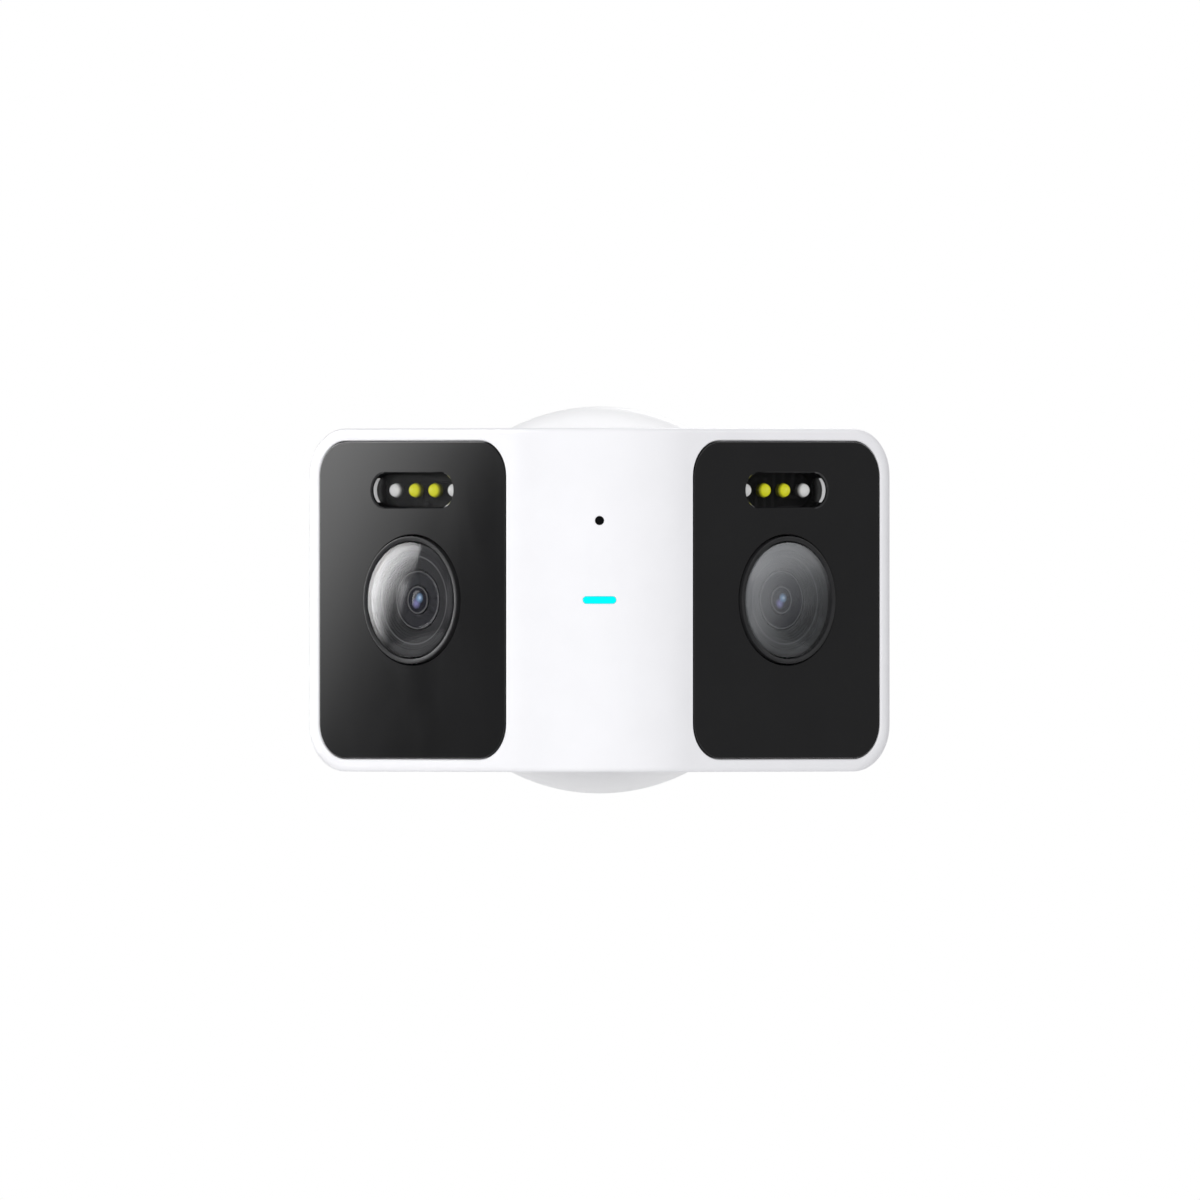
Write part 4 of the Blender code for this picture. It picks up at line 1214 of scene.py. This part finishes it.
def bolt():
    """The pivot bolt, with a hexagonal socket in its head."""
    box = Box("tilt_bolt")
    head, end = box.low.x, box.high.x
    profile = [(0, end), (2.2, end), (2.5, end - 0.4), (2.5, -11.0), (4.4, -11.0),
               (4.4, head + 0.5), (3.9, head), (0, head)]
    pin = make("pivot_bolt", turned(profile, 64), PIVOT, STEEL)
    cut(pin, slab(circle(1.9, 6), head - 1.0, head + 1.6), PIVOT)
    piece(pin, "swivel_arm", "steel", "tilt_bolt")


def stud():
    """The threaded stud that joins the arm to the head."""
    box = Box("mount_stud")
    radius = box.high.x
    length = box.size.y
    profile = [(0, 0.0), (radius - 0.5, 0.0)]
    profile += thread(11, length, (radius, 0.35), (radius - 0.4, 0.85))
    profile += [(radius - 0.6, length), (0, length)]
    turned_piece("threaded_stud", profile, 56, place_at(y=box.high.y, turn=FACING_FRONT), STEEL,
                 "tilt_arm", "steel", "mount_stud", limit=20.0)


def carried_nodes():
    """Give each CAD node that still shows its procedural material."""
    for row in frame["record"]["subparts"]:
        node = frame["nodes"][row["node"]]
        if node.hide_render:
            continue
        node.data.materials.clear()
        node.data.materials.append(CARRIED[row["material_slot"]])


# ---- stage: lights and glows are in metres ----

VIEW_WIDTH = 264.0
LENS = 1500.0
SENSOR = 36.0
FOCUS_Y = -62.0
FILL_STRENGTH = 0.555
FLOOR_HALF = 800.0
FLOOR_Z = -170.0
CARD_HALF = 450.0
CARD_X = 600.0


def place_object(name, data):
    obj = bpy.data.objects.new(name, data)
    bpy.context.scene.collection.objects.link(obj)
    return obj


def camera():
    data = bpy.data.cameras.new("camera")
    data.lens = LENS
    data.sensor_width = SENSOR
    data.clip_start = 0.1
    data.clip_end = 60.0
    obj = place_object("camera", data)
    distance = VIEW_WIDTH * LENS / SENSOR
    obj.location = Vector((0.1, FOCUS_Y - distance, 0.0)) * MM
    obj.rotation_euler = (QUARTER, 0.0, 0.0)
    bpy.context.scene.camera = obj


def hidden_from_camera(obj):
    obj.visible_camera = False
    return obj


def area_light(name, location, size, power):
    data = bpy.data.lights.new(name, "AREA")
    data.shape = "DISK"
    data.size = size
    data.energy = power
    obj = place_object(name, data)
    obj.location = location
    aim = Vector((0.0, -0.06, 0.0)) - Vector(location)
    obj.rotation_euler = aim.to_track_quat("-Z", "Y").to_euler()
    return hidden_from_camera(obj)


def reflector(name, x, build):
    """A glowing card to one side; its brightness varies over its surface."""
    card = make(name, square(CARD_HALF), place_at(x=x, turn=FACING_RIGHT))
    graph = Graph(bpy.data.materials.new(name))
    strength = build(graph, graph.along("Y"), graph.along("Z"))
    glow = graph.node("Emission", "Emission", {"Strength": strength})
    card.data.materials.append(graph.show(glow))
    card.visible_shadow = False
    card.visible_diffuse = False
    hidden_from_camera(card)


def left_glow(graph, y, z):
    """A dim card for the panel, brighter up and back, and a soft light that the dome's edge shows."""
    sheen = graph.ramp(graph.plus(y, graph.times(z, 0.55)), -0.143, -0.086, 0.0, 3.05)
    kept = graph.times(graph.ramp(y, -0.11, -0.05, 1.0, 0.0), graph.ramp(z, 0.045, 0.1, 1.0, 0.0))
    back = graph.times(graph.plus(y, 0.14), 3.28)
    light = graph.ramp(graph.plus(back, graph.times(z, 3.1)), 0.08, 1.25, 0.0, 11.0)
    slant = graph.math("SUBTRACT", y, graph.times(z, 0.125))
    edge = graph.ramp(slant, -0.22, -0.195, 0.0, 1.0)
    return graph.plus(graph.plus(graph.times(sheen, kept), graph.times(light, edge)), 0.18)


def right_glow(graph, y, z):
    """A dim card, brighter above and towards the front."""
    above = graph.ramp(z, 0.06, 0.2, 0.0, 1.5)
    near = graph.ramp(y, -0.18, -0.40, 0.0, 0.9)
    return graph.plus(graph.plus(above, near), 0.25)


def world():
    """White behind the object, and a dimmer even light on it."""
    surroundings = bpy.data.worlds.new("studio")
    bpy.context.scene.world = surroundings
    graph = Graph(surroundings)
    backdrop = graph.node("Background", "Background", {"Color": (1.0, 1.0, 1.0), "Strength": 1.0})
    fill = graph.node("Background", "Background",
                      {"Color": (1.0, 1.0, 1.02), "Strength": FILL_STRENGTH})
    seen = graph.node("LightPath", "Is Camera Ray", {})
    graph.show(graph.mix_shaders(seen, fill, backdrop))


def floor():
    look = moulded("pale_floor", (0.86, 0.86, 0.86), 0.6)
    make("floor", square(FLOOR_HALF), place_at(z=FLOOR_Z), look)


def stage():
    settings = bpy.context.scene.view_settings
    settings.view_transform = "Standard"
    settings.look = "None"
    settings.exposure = 0.0
    world()
    floor()
    key = area_light("key", (-0.5, -2.3, 0.5), 1.2, 27.0)
    key.visible_glossy = False
    area_light("rim", (0.6, 1.8, 1.5), 1.0, 18.0)
    reflector("left_card", -CARD_X, left_glow)
    reflector("right_card", CARD_X, right_glow)
    camera()


front_shell()
rear_shell()
wings()
status_light()
microphone()
flap()
push_button("power_button", "power_switch", True)
push_button("reset_button", "reset_switch", False)
screws()
port()
insert()
base()
plate()
hub()
arm()
knob()
bolt()
stud()
carried_nodes()
stage()
